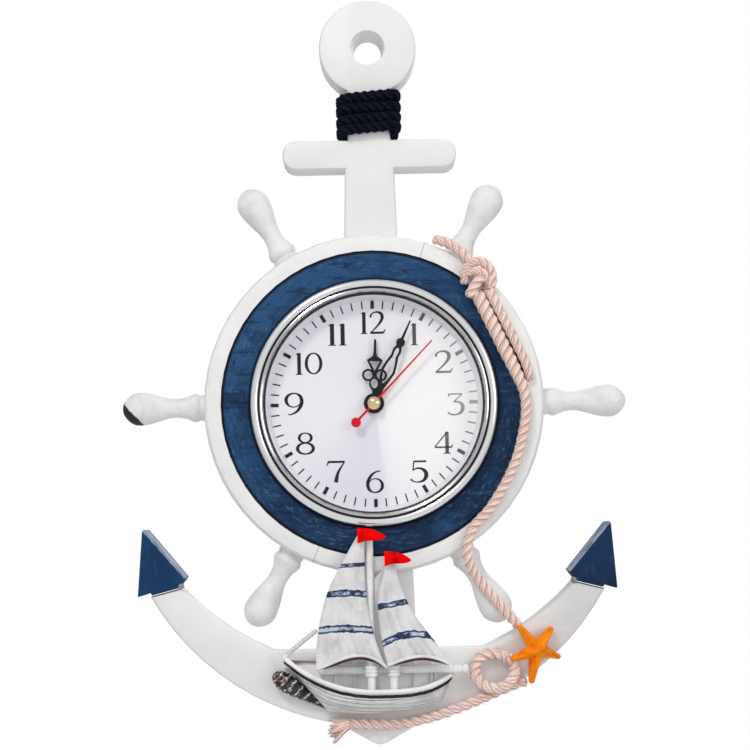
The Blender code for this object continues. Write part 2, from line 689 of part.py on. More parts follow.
def anchor_half_outline():
    """The right half of the anchor's outline, from the top of the eye to the crown's point."""
    half_stock = STOCK_HEIGHT / 2
    stock_top = HANGER_TO_DIAL + half_stock
    stock_foot = HANGER_TO_DIAL - half_stock
    neck_angle = -math.acos(NECK_HALF_WIDTH / EYE_R)
    end_x = STOCK_HALF_LENGTH - STOCK_END_ROUND
    points = arc((0.0, EYE_Z), EYE_R, math.pi / 2, neck_angle, EYE_POINTS // 2)
    points.append((NECK_HALF_WIDTH, stock_top))
    points += arc((end_x, stock_top - STOCK_END_ROUND), STOCK_END_ROUND, math.pi / 2, 0.0, 5)
    points += arc((end_x, stock_foot + STOCK_END_ROUND), STOCK_END_ROUND, 0.0, -math.pi / 2, 5)
    points.append((shank_half_width(stock_foot), stock_foot))
    fillet_top = CROTCH_FILLET - CROTCH_DROP
    points.append((shank_half_width(fillet_top), fillet_top))
    fillet_x = shank_half_width(fillet_top) + CROTCH_FILLET
    points += arc((fillet_x, fillet_top), CROTCH_FILLET, math.pi, 1.5 * math.pi, 5)[1:]
    inner_start = math.asin(CROTCH_DROP / ARM_INNER_R)
    points += arc((0.0, 0.0), ARM_INNER_R, -inner_start, -ARM_INNER_END, ARM_POINTS)
    centre = (0.0, -ARM_OUTER_CENTRE_DROP)
    crown_start = math.acos(CROWN_HALF_WIDTH / ARM_OUTER_R)
    points += arc(centre, ARM_OUTER_R, -ARM_OUTER_END, -crown_start, ARM_POINTS)
    crown_top = centre[1] - ARM_OUTER_R * math.sin(crown_start)
    points += [(CROWN_HALF_WIDTH * x, crown_top - CROWN_DROP * z) for x, z in CROWN_SHARES[1:]]
    points.append((0.0, crown_top - CROWN_DROP))
    return points


def mirrored(half):
    """A closed outline from its right half, which starts and ends on the middle line."""
    return half + [(-x, y) for x, y in reversed(half[1:-1])]


def build_anchor():
    body = plate("anchor_body", [mirrored(anchor_half_outline())], 0.0, BODY_DEPTH,
                 BODY_EDGE_ROUND)
    finish_piece(body, (0.84, 0.84, 0.84), 0.5)
    front = BODY_DEPTH + CUT_OVERRUN
    half = SHANK_HALF_WIDTH_FOOT + CUT_OVERRUN
    subtract(body, box("cut_shank_middle", (-half, -SHANK_STOP, WEB_THICK),
                       (half, SHANK_STOP, front)))
    unite(body, cylinder("add_web", WEB_R, 0.0, WEB_THICK, RIM_STEPS))
    subtract(body, cylinder("cut_web_bore", BORE_R, -CUT_OVERRUN, front, RIM_STEPS))
    grow = (EYE_HOLE_FRONT_R - EYE_HOLE_BACK_R) * CUT_OVERRUN / BODY_DEPTH
    eye_profile = [(0.0, -CUT_OVERRUN), (EYE_HOLE_BACK_R - grow, -CUT_OVERRUN),
                   (EYE_HOLE_FRONT_R + grow, front), (0.0, front)]
    subtract(body, turned("cut_eye", eye_profile, EYE_POINTS, face_frame(0.0, EYE_Z)))
    cut_waist(body)
    cut_hanger_recess(body)
    for side in (-1, 1):
        build_fluke(side)


def cut_waist(body):
    """The back of the neck is cut away where the rope passes behind it."""
    start = HANGER_TO_DIAL + WINDING_TOP
    room = WINDING_ROPE_R + WINDING_GAP
    low = start - WINDING_TURNS * WINDING_PITCH - room
    half = NECK_HALF_WIDTH + 2 * (room + WINDING_ROPE_R)
    subtract(body, box("cut_waist", (-half, low, -CUT_OVERRUN),
                       (half, start + room, WAIST_BACK)))


def cut_hanger_recess(body):
    """A shallow pocket for the hanger and a pilot hole for each of its nails."""
    half_length = HANGER_LENGTH / 2 + CLEAR
    half_height = HANGER_HEIGHT / 2 + CLEAR
    subtract(body, box("cut_hanger_recess",
                       (-half_length, HANGER_TO_DIAL - half_height, -CUT_OVERRUN),
                       (half_length, HANGER_TO_DIAL + half_height, HANGER_RECESS_DEPTH)))
    deep = HANGER_RECESS_DEPTH + NAIL_LENGTH + 2 * CLEAR
    for side in (-1, 1):
        place = face_frame(side * (HANGER_LENGTH / 2 - NAIL_INSET), HANGER_TO_DIAL)
        subtract(body, cylinder("cut_pilot_hole", NAIL_R + CLEAR, 0.0, deep, ARBOR_STEPS, place))


def build_fluke(side):
    """An arrowhead on the arm's end; side is 1 on the right and -1 on the left."""
    outer, inner = (Vector(corner) for corner in arm_end())
    along = (inner - outer).normalized()
    away = Vector((along.y, -along.x))
    middle = (outer + inner) / 2 + away * CLEAR
    outline = []
    for share_along, share_away in FLUKE_SHARES:
        point = middle + along * share_along * FLUKE_LENGTH + away * share_away * FLUKE_LENGTH
        outline.append((side * point.x, point.y))
    name = "fluke_right" if side > 0 else "fluke_left"
    fluke = plate(name, [outline], 0.0, FLUKE_DEPTH, FLUKE_EDGE_ROUND)
    finish_piece(fluke, (0.02, 0.06, 0.15), 0.45)


# Ship's wheel

def build_wheel():
    rabbet_r = NAVY_RING_R + CLEAR
    web_room = WEB_R + CLEAR
    back_floor = WEB_THICK + CLEAR
    profile = [(web_room, 0.0), (web_room, back_floor), (BORE_R, back_floor),
               (BORE_R, NAVY_BACK_DEPTH - CLEAR), (rabbet_r, NAVY_BACK_DEPTH - CLEAR),
               (rabbet_r, RIM_DEPTH)]
    profile += [(RIM_R * share_r, RIM_DEPTH * share_d) for share_r, share_d in RIM_EDGE_SHARES]
    rim = finish_piece(turned("wheel_rim", profile, RIM_STEPS), (0.82, 0.82, 0.80), 0.55)
    cut_shank_notches(rim)
    for number in range(HANDLE_COUNT):
        cut_handle_socket(rim, number)
    ring_profile = [(BORE_R, NAVY_BACK_DEPTH), (NAVY_RING_R, NAVY_BACK_DEPTH),
                    (NAVY_RING_R, RIM_DEPTH), (BORE_R, RIM_DEPTH)]
    finish_piece(turned("navy_ring", ring_profile, RIM_STEPS), (0.02, 0.07, 0.19), 0.5)
    for number in range(HANDLE_COUNT):
        build_handle(number)


def cut_shank_notches(rim):
    """The rim sits over the shank above and below the dial."""
    reach = RIM_R + CUT_OVERRUN
    for side in (-1, 1):
        for name, start, deep in (("cut_notch_thin", (BORE_R + WEB_R) / 2, WEB_THICK + 2 * CLEAR),
                                  ("cut_notch_thick", SHANK_STOP - CLEAR, BODY_DEPTH + CLEAR)):
            near = shank_half_width(side * start) + CLEAR
            far = shank_half_width(side * reach) + CLEAR
            outline = [(-near, side * start), (near, side * start),
                       (far, side * reach), (-far, side * reach)]
            subtract(rim, plate(name, [outline], -CUT_OVERRUN, deep + CUT_OVERRUN))


def handle_frame(number):
    """Local Z runs outward along a handle's axis, from the dial's axis."""
    angle = TAU * number / HANDLE_COUNT
    return (Matrix.Translation((0.0, -HANDLE_DEPTH, DIAL_Z))
            @ Matrix.Rotation(math.pi / 2 - angle, 4, 'Y'))


def cut_handle_socket(rim, number):
    face = RIM_R - SPOT_FACE_DEPTH
    root = HANDLE_SHARES[1][1] * HANDLE_BULB_R + CLEAR
    reach = RIM_R + CUT_OVERRUN
    profile = [(0.0, face - TENON_LENGTH - CLEAR), (TENON_R + CLEAR, face - TENON_LENGTH - CLEAR),
               (TENON_R + CLEAR, face), (root, face), (root, reach), (0.0, reach)]
    subtract(rim, turned("cut_socket", profile, HANDLE_STEPS, handle_frame(number)))


def build_handle(number):
    """A turned spoke handle, whose tenon sits in the rim."""
    face = RIM_R - SPOT_FACE_DEPTH + CLEAR
    profile = [(0.0, face - TENON_LENGTH), (TENON_R, face - TENON_LENGTH), (TENON_R, face)]
    profile += [(HANDLE_BULB_R * share_r, face + HANDLE_LENGTH * share_l)
                for share_l, share_r in HANDLE_SHARES]
    name = "handle_%d" % (number + 1)
    finish_piece(turned(name, profile, HANDLE_STEPS, handle_frame(number)),
                 (0.84, 0.84, 0.84), 0.45)


# Clock insert

def build_insert():
    seat = CUP_FLOOR_DEPTH
    inner = CUP_R - CUP_WALL
    top = BEZEL_BACK_DEPTH - CLEAR
    floor = CUP_FLOOR_FRONT
    bore = BUSHING_R + CLEAR
    cup_profile = [(bore, seat), (CUP_R, seat), (CUP_R, top), (inner, top), (inner, floor),
                   (bore, floor)]
    finish_piece(turned("insert_cup", cup_profile, CUP_STEPS), (0.05, 0.05, 0.055), 0.5)
    dial_r = inner - CLEAR
    dial_profile = [(bore, DIAL_BACK_DEPTH), (dial_r, DIAL_BACK_DEPTH),
                    (dial_r, DIAL_BACK_DEPTH + DIAL_THICK), (bore, DIAL_BACK_DEPTH + DIAL_THICK)]
    finish_piece(turned("dial", dial_profile, CUP_STEPS), (0.85, 0.86, 0.88), 0.35, 0.3)
    build_bezel()
    build_lens()


def lens_seat():
    """Depth of the lens rim's back and its radius: it sits in the bezel's inner groove."""
    radius = (BEZEL_OPENING_R + CUP_R) / 2
    back = BEZEL_BACK_DEPTH + BEZEL_THICK * BEZEL_SHARES[-2][1] - LENS_THICK - 2 * CLEAR
    return radius, back


def build_bezel():
    """A pressed ring with two raised beads; a step at the back holds the lens."""
    width = BEZEL_R - BEZEL_OPENING_R
    lens_r, lens_back = lens_seat()
    step_r = lens_r + CLEAR
    step_depth = lens_back + LENS_THICK + CLEAR
    profile = [(BEZEL_R - width * across, BEZEL_BACK_DEPTH + BEZEL_THICK * up)
               for across, up in BEZEL_SHARES[:-1]]
    profile += [(BEZEL_OPENING_R, step_depth), (step_r, step_depth), (step_r, BEZEL_BACK_DEPTH)]
    finish_piece(turned("bezel", profile, BEZEL_STEPS), (0.80, 0.81, 0.83), 0.12, 1.0)


def build_lens():
    radius, back = lens_seat()
    sphere_r = (radius ** 2 + LENS_CROWN ** 2) / (2 * LENS_CROWN)
    outer, inner = [], []
    for ring in range(LENS_RINGS + 1):
        r = radius * ring / LENS_RINGS
        rise = math.sqrt(sphere_r ** 2 - r ** 2) - (sphere_r - LENS_CROWN)
        outer.append((r, back + LENS_THICK + rise))
        inner.append((r, back + rise))
    profile = inner + outer[::-1]
    finish_piece(turned("lens", profile, CUP_STEPS), (0.95, 0.97, 0.98), 0.02)


# Hands; each outline points to twelve and is turned to the time shown

def hand_frame(angle):
    return face_frame(0.0, 0.0, -angle)


def hand_outline(shares, length):
    """A closed outline about the hand's middle line, from the shares of its right half."""
    right = [(SCROLL_R * across, length * along) for across, along in shares]
    left = [(-x, y) for x, y in reversed(right) if x > 0.0]
    return right + left


def hand_ring(name, centre, outer, inner, back, frame, stretch=(1.0, 1.0)):
    loops = []
    for radius, count in ((outer, 14), (inner, 12)):
        loops.append([(centre[0] + x * stretch[0], centre[1] + y * stretch[1])
                      for x, y in circle(radius, count)])
    return plate(name, loops, back, HAND_THICK, 0.0, frame)


def build_hour_hand():
    """Spear tip, open triangle, two side scrolls and an open oval above the boss."""
    frame = hand_frame(HOUR_ANGLE)
    back = HOUR_HAND_DEPTH
    length = HOUR_HAND_LENGTH
    hole = SCROLL_R - SCROLL_WIRE
    loops = [hand_outline(shares, length) for shares in (HOUR_SPEAR_SHARES, HOUR_WINDOW_SHARES)]
    hand = plate("hour_hand", loops, back, HAND_THICK, 0.0, frame)
    for side in (-1, 1):
        centre = (side * SCROLL_R * SCROLL_PLACE_SHARES[0], length * SCROLL_PLACE_SHARES[1])
        unite(hand, hand_ring("add_scroll", centre, SCROLL_R, hole, back, frame))
    centre = (0.0, length * HOUR_OVAL_PLACE_SHARE)
    unite(hand, hand_ring("add_oval", centre, SCROLL_R, hole, back, frame, HOUR_OVAL_SHARES))
    neck = [(-SCROLL_WIRE, length * HOUR_NECK_SHARES[0]), (SCROLL_WIRE, length * HOUR_NECK_SHARES[0]),
            (SCROLL_WIRE, length * HOUR_NECK_SHARES[1]), (-SCROLL_WIRE, length * HOUR_NECK_SHARES[1])]
    unite(hand, plate("add_neck", [neck], back, HAND_THICK, 0.0, frame))
    unite(hand, plate("add_boss", [circle(HOUR_BOSS_R, 20), circle(HOUR_PIPE_R + CLEAR, 14)],
                      back, HAND_THICK, 0.0, frame))
    return finish_piece(hand, (0.01, 0.01, 0.012), 0.3)


def build_minute_hand():
    """Thin tip, a disc, and a long open pear above the boss."""
    frame = hand_frame(MINUTE_ANGLE)
    back = MINUTE_HAND_DEPTH
    length = MINUTE_HAND_LENGTH
    loops = [hand_outline(shares, length) for shares in (MINUTE_PEAR_SHARES, MINUTE_WINDOW_SHARES)]
    hand = plate("minute_hand", loops, back, HAND_THICK, 0.0, frame)
    tip = hand_outline(MINUTE_TIP_SHARES, length)
    unite(hand, plate("add_tip", [tip], back, HAND_THICK, 0.0, frame))
    disc = circle(HAND_DISC_R, 16, (0.0, length * MINUTE_DISC_PLACE_SHARE))
    unite(hand, plate("add_disc", [disc], back, HAND_THICK, 0.0, frame))
    unite(hand, plate("add_boss", [circle(MINUTE_BOSS_R, 20), circle(MINUTE_PIPE_R + CLEAR, 14)],
                      back, HAND_THICK, 0.0, frame))
    subtract(hand, cylinder("cut_minute_bore", MINUTE_PIPE_R + CLEAR, back - CUT_OVERRUN,
                            back + HAND_THICK + CUT_OVERRUN, 14, frame))
    return finish_piece(hand, (0.01, 0.01, 0.012), 0.3)


def build_second_hand():
    """A thin needle with a round counterweight."""
    frame = hand_frame(SECOND_ANGLE)
    back = SECOND_HAND_DEPTH
    needle = [(-SECOND_HALF_WIDTH, -SECOND_TAIL_LENGTH), (SECOND_HALF_WIDTH, -SECOND_TAIL_LENGTH),
              (SECOND_HALF_WIDTH / 2, SECOND_HAND_LENGTH),
              (-SECOND_HALF_WIDTH / 2, SECOND_HAND_LENGTH)]
    hand = plate("second_hand", [needle], back, HAND_THICK, 0.0, frame)
    weight = circle(SECOND_TAIL_R, 16, (0.0, -SECOND_TAIL_LENGTH))
    unite(hand, plate("add_weight", [weight], back, HAND_THICK, 0.0, frame))
    unite(hand, plate("add_boss", [circle(SECOND_BOSS_R, 16)], back, HAND_THICK, 0.0, frame))
    subtract(hand, cylinder("cut_second_bore", SECOND_ARBOR_R + CLEAR, back - CUT_OVERRUN,
                            back + HAND_THICK + CUT_OVERRUN, ARBOR_STEPS, frame))
    return finish_piece(hand, (0.70, 0.02, 0.03), 0.35)


def build_cap():
    """A brass button pressed on the end of the second arbor."""
    back = SECOND_HAND_DEPTH + HAND_THICK + CLEAR
    profile = [(0.0, back + CAP_HEIGHT)]
    profile += [(CAP_R * math.sin(step * math.pi / 8),
                 back + CAP_HEIGHT * math.cos(step * math.pi / 8) ** 2) for step in range(1, 4)]
    profile += [(CAP_R, back), (0.0, back)]
    finish_piece(turned("centre_cap", profile, 24, hand_frame(SECOND_ANGLE)),
                 (0.80, 0.62, 0.28), 0.2, 1.0)


# Gear train; a wheel's phase is the angle of one of its teeth

def offset(start, distance, direction):
    return (start[0] + distance * math.cos(direction), start[1] + distance * math.sin(direction))


def mesh_phase(teeth_a, phase_a, direction, teeth_b):
    """Phase of wheel B that puts its gaps on wheel A's teeth; direction is from A to B."""
    return direction + math.pi - teeth_a / teeth_b * (phase_a - direction) - math.pi / teeth_b


def module_of(distance, teeth_a, teeth_b):
    return 2 * distance / (teeth_a + teeth_b)


def gear(name, teeth, module, phase, back, thick, frame):
    """A toothed plate: each tooth runs from a root point to a tip point and back."""
    pitch_r = teeth * module / 2
    outline = []
    for tooth in range(teeth):
        angle = phase + TAU * tooth / teeth
        for radius, turn in ((pitch_r + TIP_SHARE * module, angle),
                             (pitch_r - ROOT_SHARE * module, angle + math.pi / teeth)):
            outline.append((radius * math.cos(turn), radius * math.sin(turn)))
    return plate(name, [outline], back, thick, 0.0, frame)


def bearing_depths():
    """Inner faces of the cover, the middle plate's back and the case's front wall."""
    return CASE_BACK_DEPTH - CLEAR, PLATE_DEPTH, CASE_FRONT_DEPTH - CASE_WALL


def axes():
    third = offset((0.0, 0.0), THIRD_DISTANCE, THIRD_DIRECTION)
    motion = offset((0.0, 0.0), MOTION_DISTANCE, MOTION_DIRECTION)
    knob = offset(motion, MOTION_DISTANCE, KNOB_DIRECTION)
    intermediate = offset((0.0, 0.0), INTERMEDIATE_DISTANCE, INTERMEDIATE_DIRECTION)
    rotor = offset(intermediate, ROTOR_DISTANCE, ROTOR_DIRECTION)
    return third, motion, knob, intermediate, rotor


def build_going_train():
    """Rotor to second arbor to centre wheel."""
    cover, plate_back, case_front = bearing_depths()
    back_end = cover - PIVOT_DEPTH
    third, _, _, intermediate, rotor = axes()
    brass = (0.75, 0.60, 0.30)

    frame = face_frame()
    module = module_of(THIRD_DISTANCE, TEETH_THIRD, TEETH_SECOND_PINION)
    second_module = module_of(INTERMEDIATE_DISTANCE, TEETH_SECOND, TEETH_INTERMEDIATE_PINION)
    wheel = gear("second_wheel", TEETH_SECOND, second_module, 0.0, SECOND_WHEEL_DEPTH,
                 WHEEL_THICK, frame)
    unite(wheel, gear("add_second_pinion", TEETH_SECOND_PINION, module, 0.0, THIRD_WHEEL_DEPTH,
                      PINION_THICK, frame))
    unite(wheel, cylinder("add_second_arbor", SECOND_ARBOR_R, back_end,
                          SECOND_HAND_DEPTH + HAND_THICK, ARBOR_STEPS, frame))
    finish_piece(wheel, (0.85, 0.85, 0.82), 0.5)

    frame = face_frame(*third)
    phase = mesh_phase(TEETH_SECOND_PINION, 0.0, THIRD_DIRECTION, TEETH_THIRD)
    wheel = gear("third_wheel", TEETH_THIRD, module, phase, THIRD_WHEEL_DEPTH, WHEEL_THICK, frame)
    module = module_of(THIRD_DISTANCE, TEETH_CENTRE, TEETH_THIRD_PINION)
    unite(wheel, gear("add_third_pinion", TEETH_THIRD_PINION, module, 0.0, CENTRE_WHEEL_DEPTH,
                      PINION_THICK, frame))
    unite(wheel, cylinder("add_third_arbor", ARBOR_R, back_end, case_front + PIVOT_DEPTH,
                          ARBOR_STEPS, frame))
    finish_piece(wheel, (0.85, 0.85, 0.82), 0.5)

    frame = face_frame()
    phase = mesh_phase(TEETH_THIRD_PINION, 0.0, THIRD_DIRECTION + math.pi, TEETH_CENTRE)
    wheel = gear("centre_wheel", TEETH_CENTRE, module, phase, CENTRE_WHEEL_DEPTH, WHEEL_THICK,
                 frame)
    subtract(wheel, cylinder("cut_centre_bore", MINUTE_PIPE_R + CLEAR, PLATE_DEPTH,
                             CANNON_DEPTH, ARBOR_STEPS, frame))
    finish_piece(wheel, brass, 0.35, 1.0)

    frame = face_frame(*intermediate)
    phase = mesh_phase(TEETH_SECOND, 0.0, INTERMEDIATE_DIRECTION, TEETH_INTERMEDIATE_PINION)
    wheel_module = module_of(ROTOR_DISTANCE, TEETH_INTERMEDIATE, TEETH_ROTOR_PINION)
    wheel = gear("intermediate_wheel", TEETH_INTERMEDIATE, wheel_module, 0.0,
                 INTERMEDIATE_WHEEL_DEPTH, WHEEL_THICK, frame)
    unite(wheel, gear("add_intermediate_pinion", TEETH_INTERMEDIATE_PINION, second_module, phase,
                      SECOND_WHEEL_DEPTH, PINION_THICK, frame))
    unite(wheel, cylinder("add_intermediate_arbor", ARBOR_R, back_end, plate_back + PIVOT_DEPTH,
                          ARBOR_STEPS, frame))
    finish_piece(wheel, (0.85, 0.85, 0.82), 0.5)

    frame = face_frame(*rotor)
    phase = mesh_phase(TEETH_INTERMEDIATE, 0.0, ROTOR_DIRECTION, TEETH_ROTOR_PINION)
    magnet = cylinder("rotor", ROTOR_R, ROTOR_DEPTH, ROTOR_DEPTH + ROTOR_THICK, 20, frame)
    unite(magnet, cylinder("add_rotor_arbor", ARBOR_R, back_end, plate_back + PIVOT_DEPTH,
                           ARBOR_STEPS, frame))
    unite(magnet, gear("add_rotor_pinion", TEETH_ROTOR_PINION, wheel_module, phase,
                       INTERMEDIATE_WHEEL_DEPTH, PINION_THICK, frame))
    finish_piece(magnet, (0.25, 0.25, 0.27), 0.4, 1.0)


def build_motion_work():
    """Cannon pinion to motion wheel to hour wheel, and the setting knob."""
    cover, _, case_front = bearing_depths()
    _, motion, knob, _, _ = axes()
    plastic = (0.88, 0.88, 0.86)
    frame = face_frame()
    module = module_of(MOTION_DISTANCE, TEETH_CANNON, TEETH_MOTION)
    cannon = gear("cannon_pinion", TEETH_CANNON, module, 0.0, CANNON_DEPTH, PINION_THICK, frame)
    pipe_back = PLATE_DEPTH + PLATE_THICK + CLEAR
    unite(cannon, cylinder("add_minute_pipe", MINUTE_PIPE_R, pipe_back,
                           MINUTE_HAND_DEPTH + HAND_THICK, 16, frame))
    subtract(cannon, cylinder("cut_minute_pipe", MINUTE_PIPE_BORE_R, PLATE_DEPTH,
                              SECOND_HAND_DEPTH, 16, frame))
    finish_piece(cannon, (0.75, 0.60, 0.30), 0.35, 1.0)

    frame = face_frame(*motion)
    phase = mesh_phase(TEETH_CANNON, 0.0, MOTION_DIRECTION, TEETH_MOTION)
    wheel = gear("motion_wheel", TEETH_MOTION, module, phase, CANNON_DEPTH, WHEEL_THICK, frame)
    hour_module = module_of(MOTION_DISTANCE, TEETH_MOTION_PINION, TEETH_HOUR)
    hub_depth = CANNON_DEPTH + WHEEL_THICK / 2
    hub_front = HOUR_WHEEL_DEPTH + PINION_THICK
    unite(wheel, gear("add_motion_pinion", TEETH_MOTION_PINION, hour_module, 0.0, hub_depth,
                      hub_front - hub_depth, frame))
    subtract(wheel, cylinder("cut_motion_bore", STUD_R + CLEAR, CENTRE_WHEEL_DEPTH,
                             CASE_FRONT_DEPTH, ARBOR_STEPS, frame))
    finish_piece(wheel, plastic, 0.5)

    frame = face_frame()
    phase = mesh_phase(TEETH_MOTION_PINION, 0.0, MOTION_DIRECTION + math.pi, TEETH_HOUR)
    wheel = gear("hour_wheel", TEETH_HOUR, hour_module, phase, HOUR_WHEEL_DEPTH, WHEEL_THICK,
                 frame)
    unite(wheel, cylinder("add_hour_pipe", HOUR_PIPE_R, HOUR_WHEEL_DEPTH + WHEEL_THICK / 2,
                          HOUR_HAND_DEPTH + HAND_THICK, 16, frame))
    subtract(wheel, cylinder("cut_hour_pipe", HOUR_PIPE_BORE_R, CANNON_DEPTH,
                             SECOND_HAND_DEPTH, 16, frame))
    finish_piece(wheel, plastic, 0.5)

    frame = face_frame(*knob)
    knob_phase = mesh_phase(TEETH_MOTION, mesh_phase(TEETH_CANNON, 0.0, MOTION_DIRECTION,
                                                     TEETH_MOTION), KNOB_DIRECTION, TEETH_KNOB)
    flutes = []
    for step in range(2 * KNOB_FLUTES):
        radius = KNOB_R if step % 2 else KNOB_R - KNOB_THICK / 2
        angle = TAU * step / (2 * KNOB_FLUTES)
        flutes.append((radius * math.cos(angle), radius * math.sin(angle)))
    piece = plate("setting_knob", [flutes], KNOB_BACK, KNOB_THICK, 0.0, frame)
    unite(piece, cylinder("add_knob_arbor", KNOB_ARBOR_R, KNOB_BACK + KNOB_THICK / 2,
                          case_front + PIVOT_DEPTH, ARBOR_STEPS, frame))
    unite(piece, gear("add_knob_pinion", TEETH_KNOB, module, knob_phase, CANNON_DEPTH,
                      PINION_THICK, frame))
    finish_piece(piece, plastic, 0.5)


# Movement case and what it holds

def build_case():
    inner = CASE_HALF - CASE_WALL
    _, _, front_wall = bearing_depths()
    third, motion, knob, _, _ = axes()
    case = box("movement_case", (-CASE_HALF, -CASE_HALF, CASE_BACK_DEPTH),
               (CASE_HALF, CASE_HALF, CASE_FRONT_DEPTH))
    back = CASE_BACK_DEPTH - CUT_OVERRUN
    subtract(case, box("cut_gear_room", (-inner, -BAY_WALL_DROP, back),
                       (inner, inner, front_wall)))
    subtract(case, box("cut_battery_bay", (-inner, -inner, back),
                       (inner, -BAY_WALL_DROP - BAY_WALL_THICK,
                        CASE_FRONT_DEPTH - BAY_FLOOR_THICK)))
    unite(case, cylinder("add_bushing", BUSHING_R, CASE_FRONT_DEPTH - CASE_WALL / 2,
                         BUSHING_DEPTH, 24))
    subtract(case, cylinder("cut_bushing", BUSHING_BORE_R, back, BUSHING_DEPTH + CUT_OVERRUN, 20))
    stud_end = CANNON_DEPTH
    unite(case, cylinder("add_motion_stud", STUD_R, stud_end, CASE_FRONT_DEPTH - CASE_WALL / 2,
                         ARBOR_STEPS, face_frame(*motion)))
    for place, radius in ((third, ARBOR_R), (knob, KNOB_ARBOR_R)):
        subtract(case, cylinder("cut_case_bearing", radius + CLEAR, back,
                                front_wall + PIVOT_DEPTH + CLEAR, ARBOR_STEPS, face_frame(*place)))
    finish_piece(case, (0.04, 0.04, 0.045), 0.45)

    nut = [(x, y) for x, y in circle(NUT_R, 6)]
    bore = circle(BUSHING_R + CLEAR, 24)
    nut_back = DIAL_BACK_DEPTH + DIAL_THICK + CLEAR
    finish_piece(plate("fixing_nut", [nut, bore], nut_back, NUT_THICK),
                 (0.75, 0.60, 0.30), 0.3, 1.0)
    build_cover()
    build_middle_plate()


def build_cover():
    """Back cover over the gear room, with bearing holes and pegs for the stator and board."""
    cover_front, _, _ = bearing_depths()
    third, _, knob, intermediate, rotor = axes()
    cover = box("movement_cover",
                (-CASE_HALF, -BAY_WALL_DROP - BAY_WALL_THICK, cover_front - COVER_THICK),
                (CASE_HALF, CASE_HALF, cover_front))
    peg_end = STATOR_DEPTH - CLEAR
    pegs = [(rotor[0] - STATOR_HALF_WIDTH + STATOR_BAR / 2, rotor[1]),
            (rotor[0] + STATOR_HALF_WIDTH - STATOR_BAR / 2, rotor[1]),
            (BOARD_X, BOARD_Z + BOARD_HEIGHT / 3), (BOARD_X, BOARD_Z - BOARD_HEIGHT / 3)]
    for place in pegs:
        unite(cover, cylinder("add_peg", PEG_R, cover_front - COVER_THICK / 2, peg_end,
                              ARBOR_STEPS, face_frame(*place)))
    bottom = cover_front - PIVOT_DEPTH - CLEAR
    for place in ((0.0, 0.0), third, intermediate, rotor):
        subtract(cover, cylinder("cut_cover_bearing", ARBOR_R + CLEAR, bottom,
                                 cover_front + CUT_OVERRUN, ARBOR_STEPS, face_frame(*place)))
    subtract(cover, cylinder("cut_knob_hole", KNOB_ARBOR_R + CLEAR, 0.0,
                             cover_front + CUT_OVERRUN, ARBOR_STEPS, face_frame(*knob)))
    finish_piece(cover, (0.04, 0.04, 0.045), 0.45)


def build_middle_plate():
    """Carries the front bearings of the fast wheels; slower arbors pass through it."""
    third, _, knob, intermediate, rotor = axes()
    inner = CASE_HALF - CASE_WALL - CLEAR
    piece = box("middle_plate", (-inner, -BAY_WALL_DROP + CLEAR, PLATE_DEPTH),
                (inner, inner, PLATE_DEPTH + PLATE_THICK))
    pinion_r = module_of(THIRD_DISTANCE, TEETH_CENTRE, TEETH_THIRD_PINION) \
        * (TEETH_THIRD_PINION / 2 + TIP_SHARE)
    holes = (((0.0, 0.0), SECOND_ARBOR_R), (third, pinion_r), (knob, KNOB_ARBOR_R))
    for place, radius in holes:
        subtract(piece, cylinder("cut_plate_hole", radius + CLEAR, PLATE_DEPTH - CUT_OVERRUN,
                                 PLATE_DEPTH + PLATE_THICK + CUT_OVERRUN, ARBOR_STEPS,
                                 face_frame(*place)))
    for place in (intermediate, rotor):
        subtract(piece, cylinder("cut_plate_bearing", ARBOR_R + CLEAR, PLATE_DEPTH - CUT_OVERRUN,
                                 PLATE_DEPTH + PIVOT_DEPTH + CLEAR, ARBOR_STEPS,
                                 face_frame(*place)))
    finish_piece(piece, (0.10, 0.10, 0.11), 0.5)


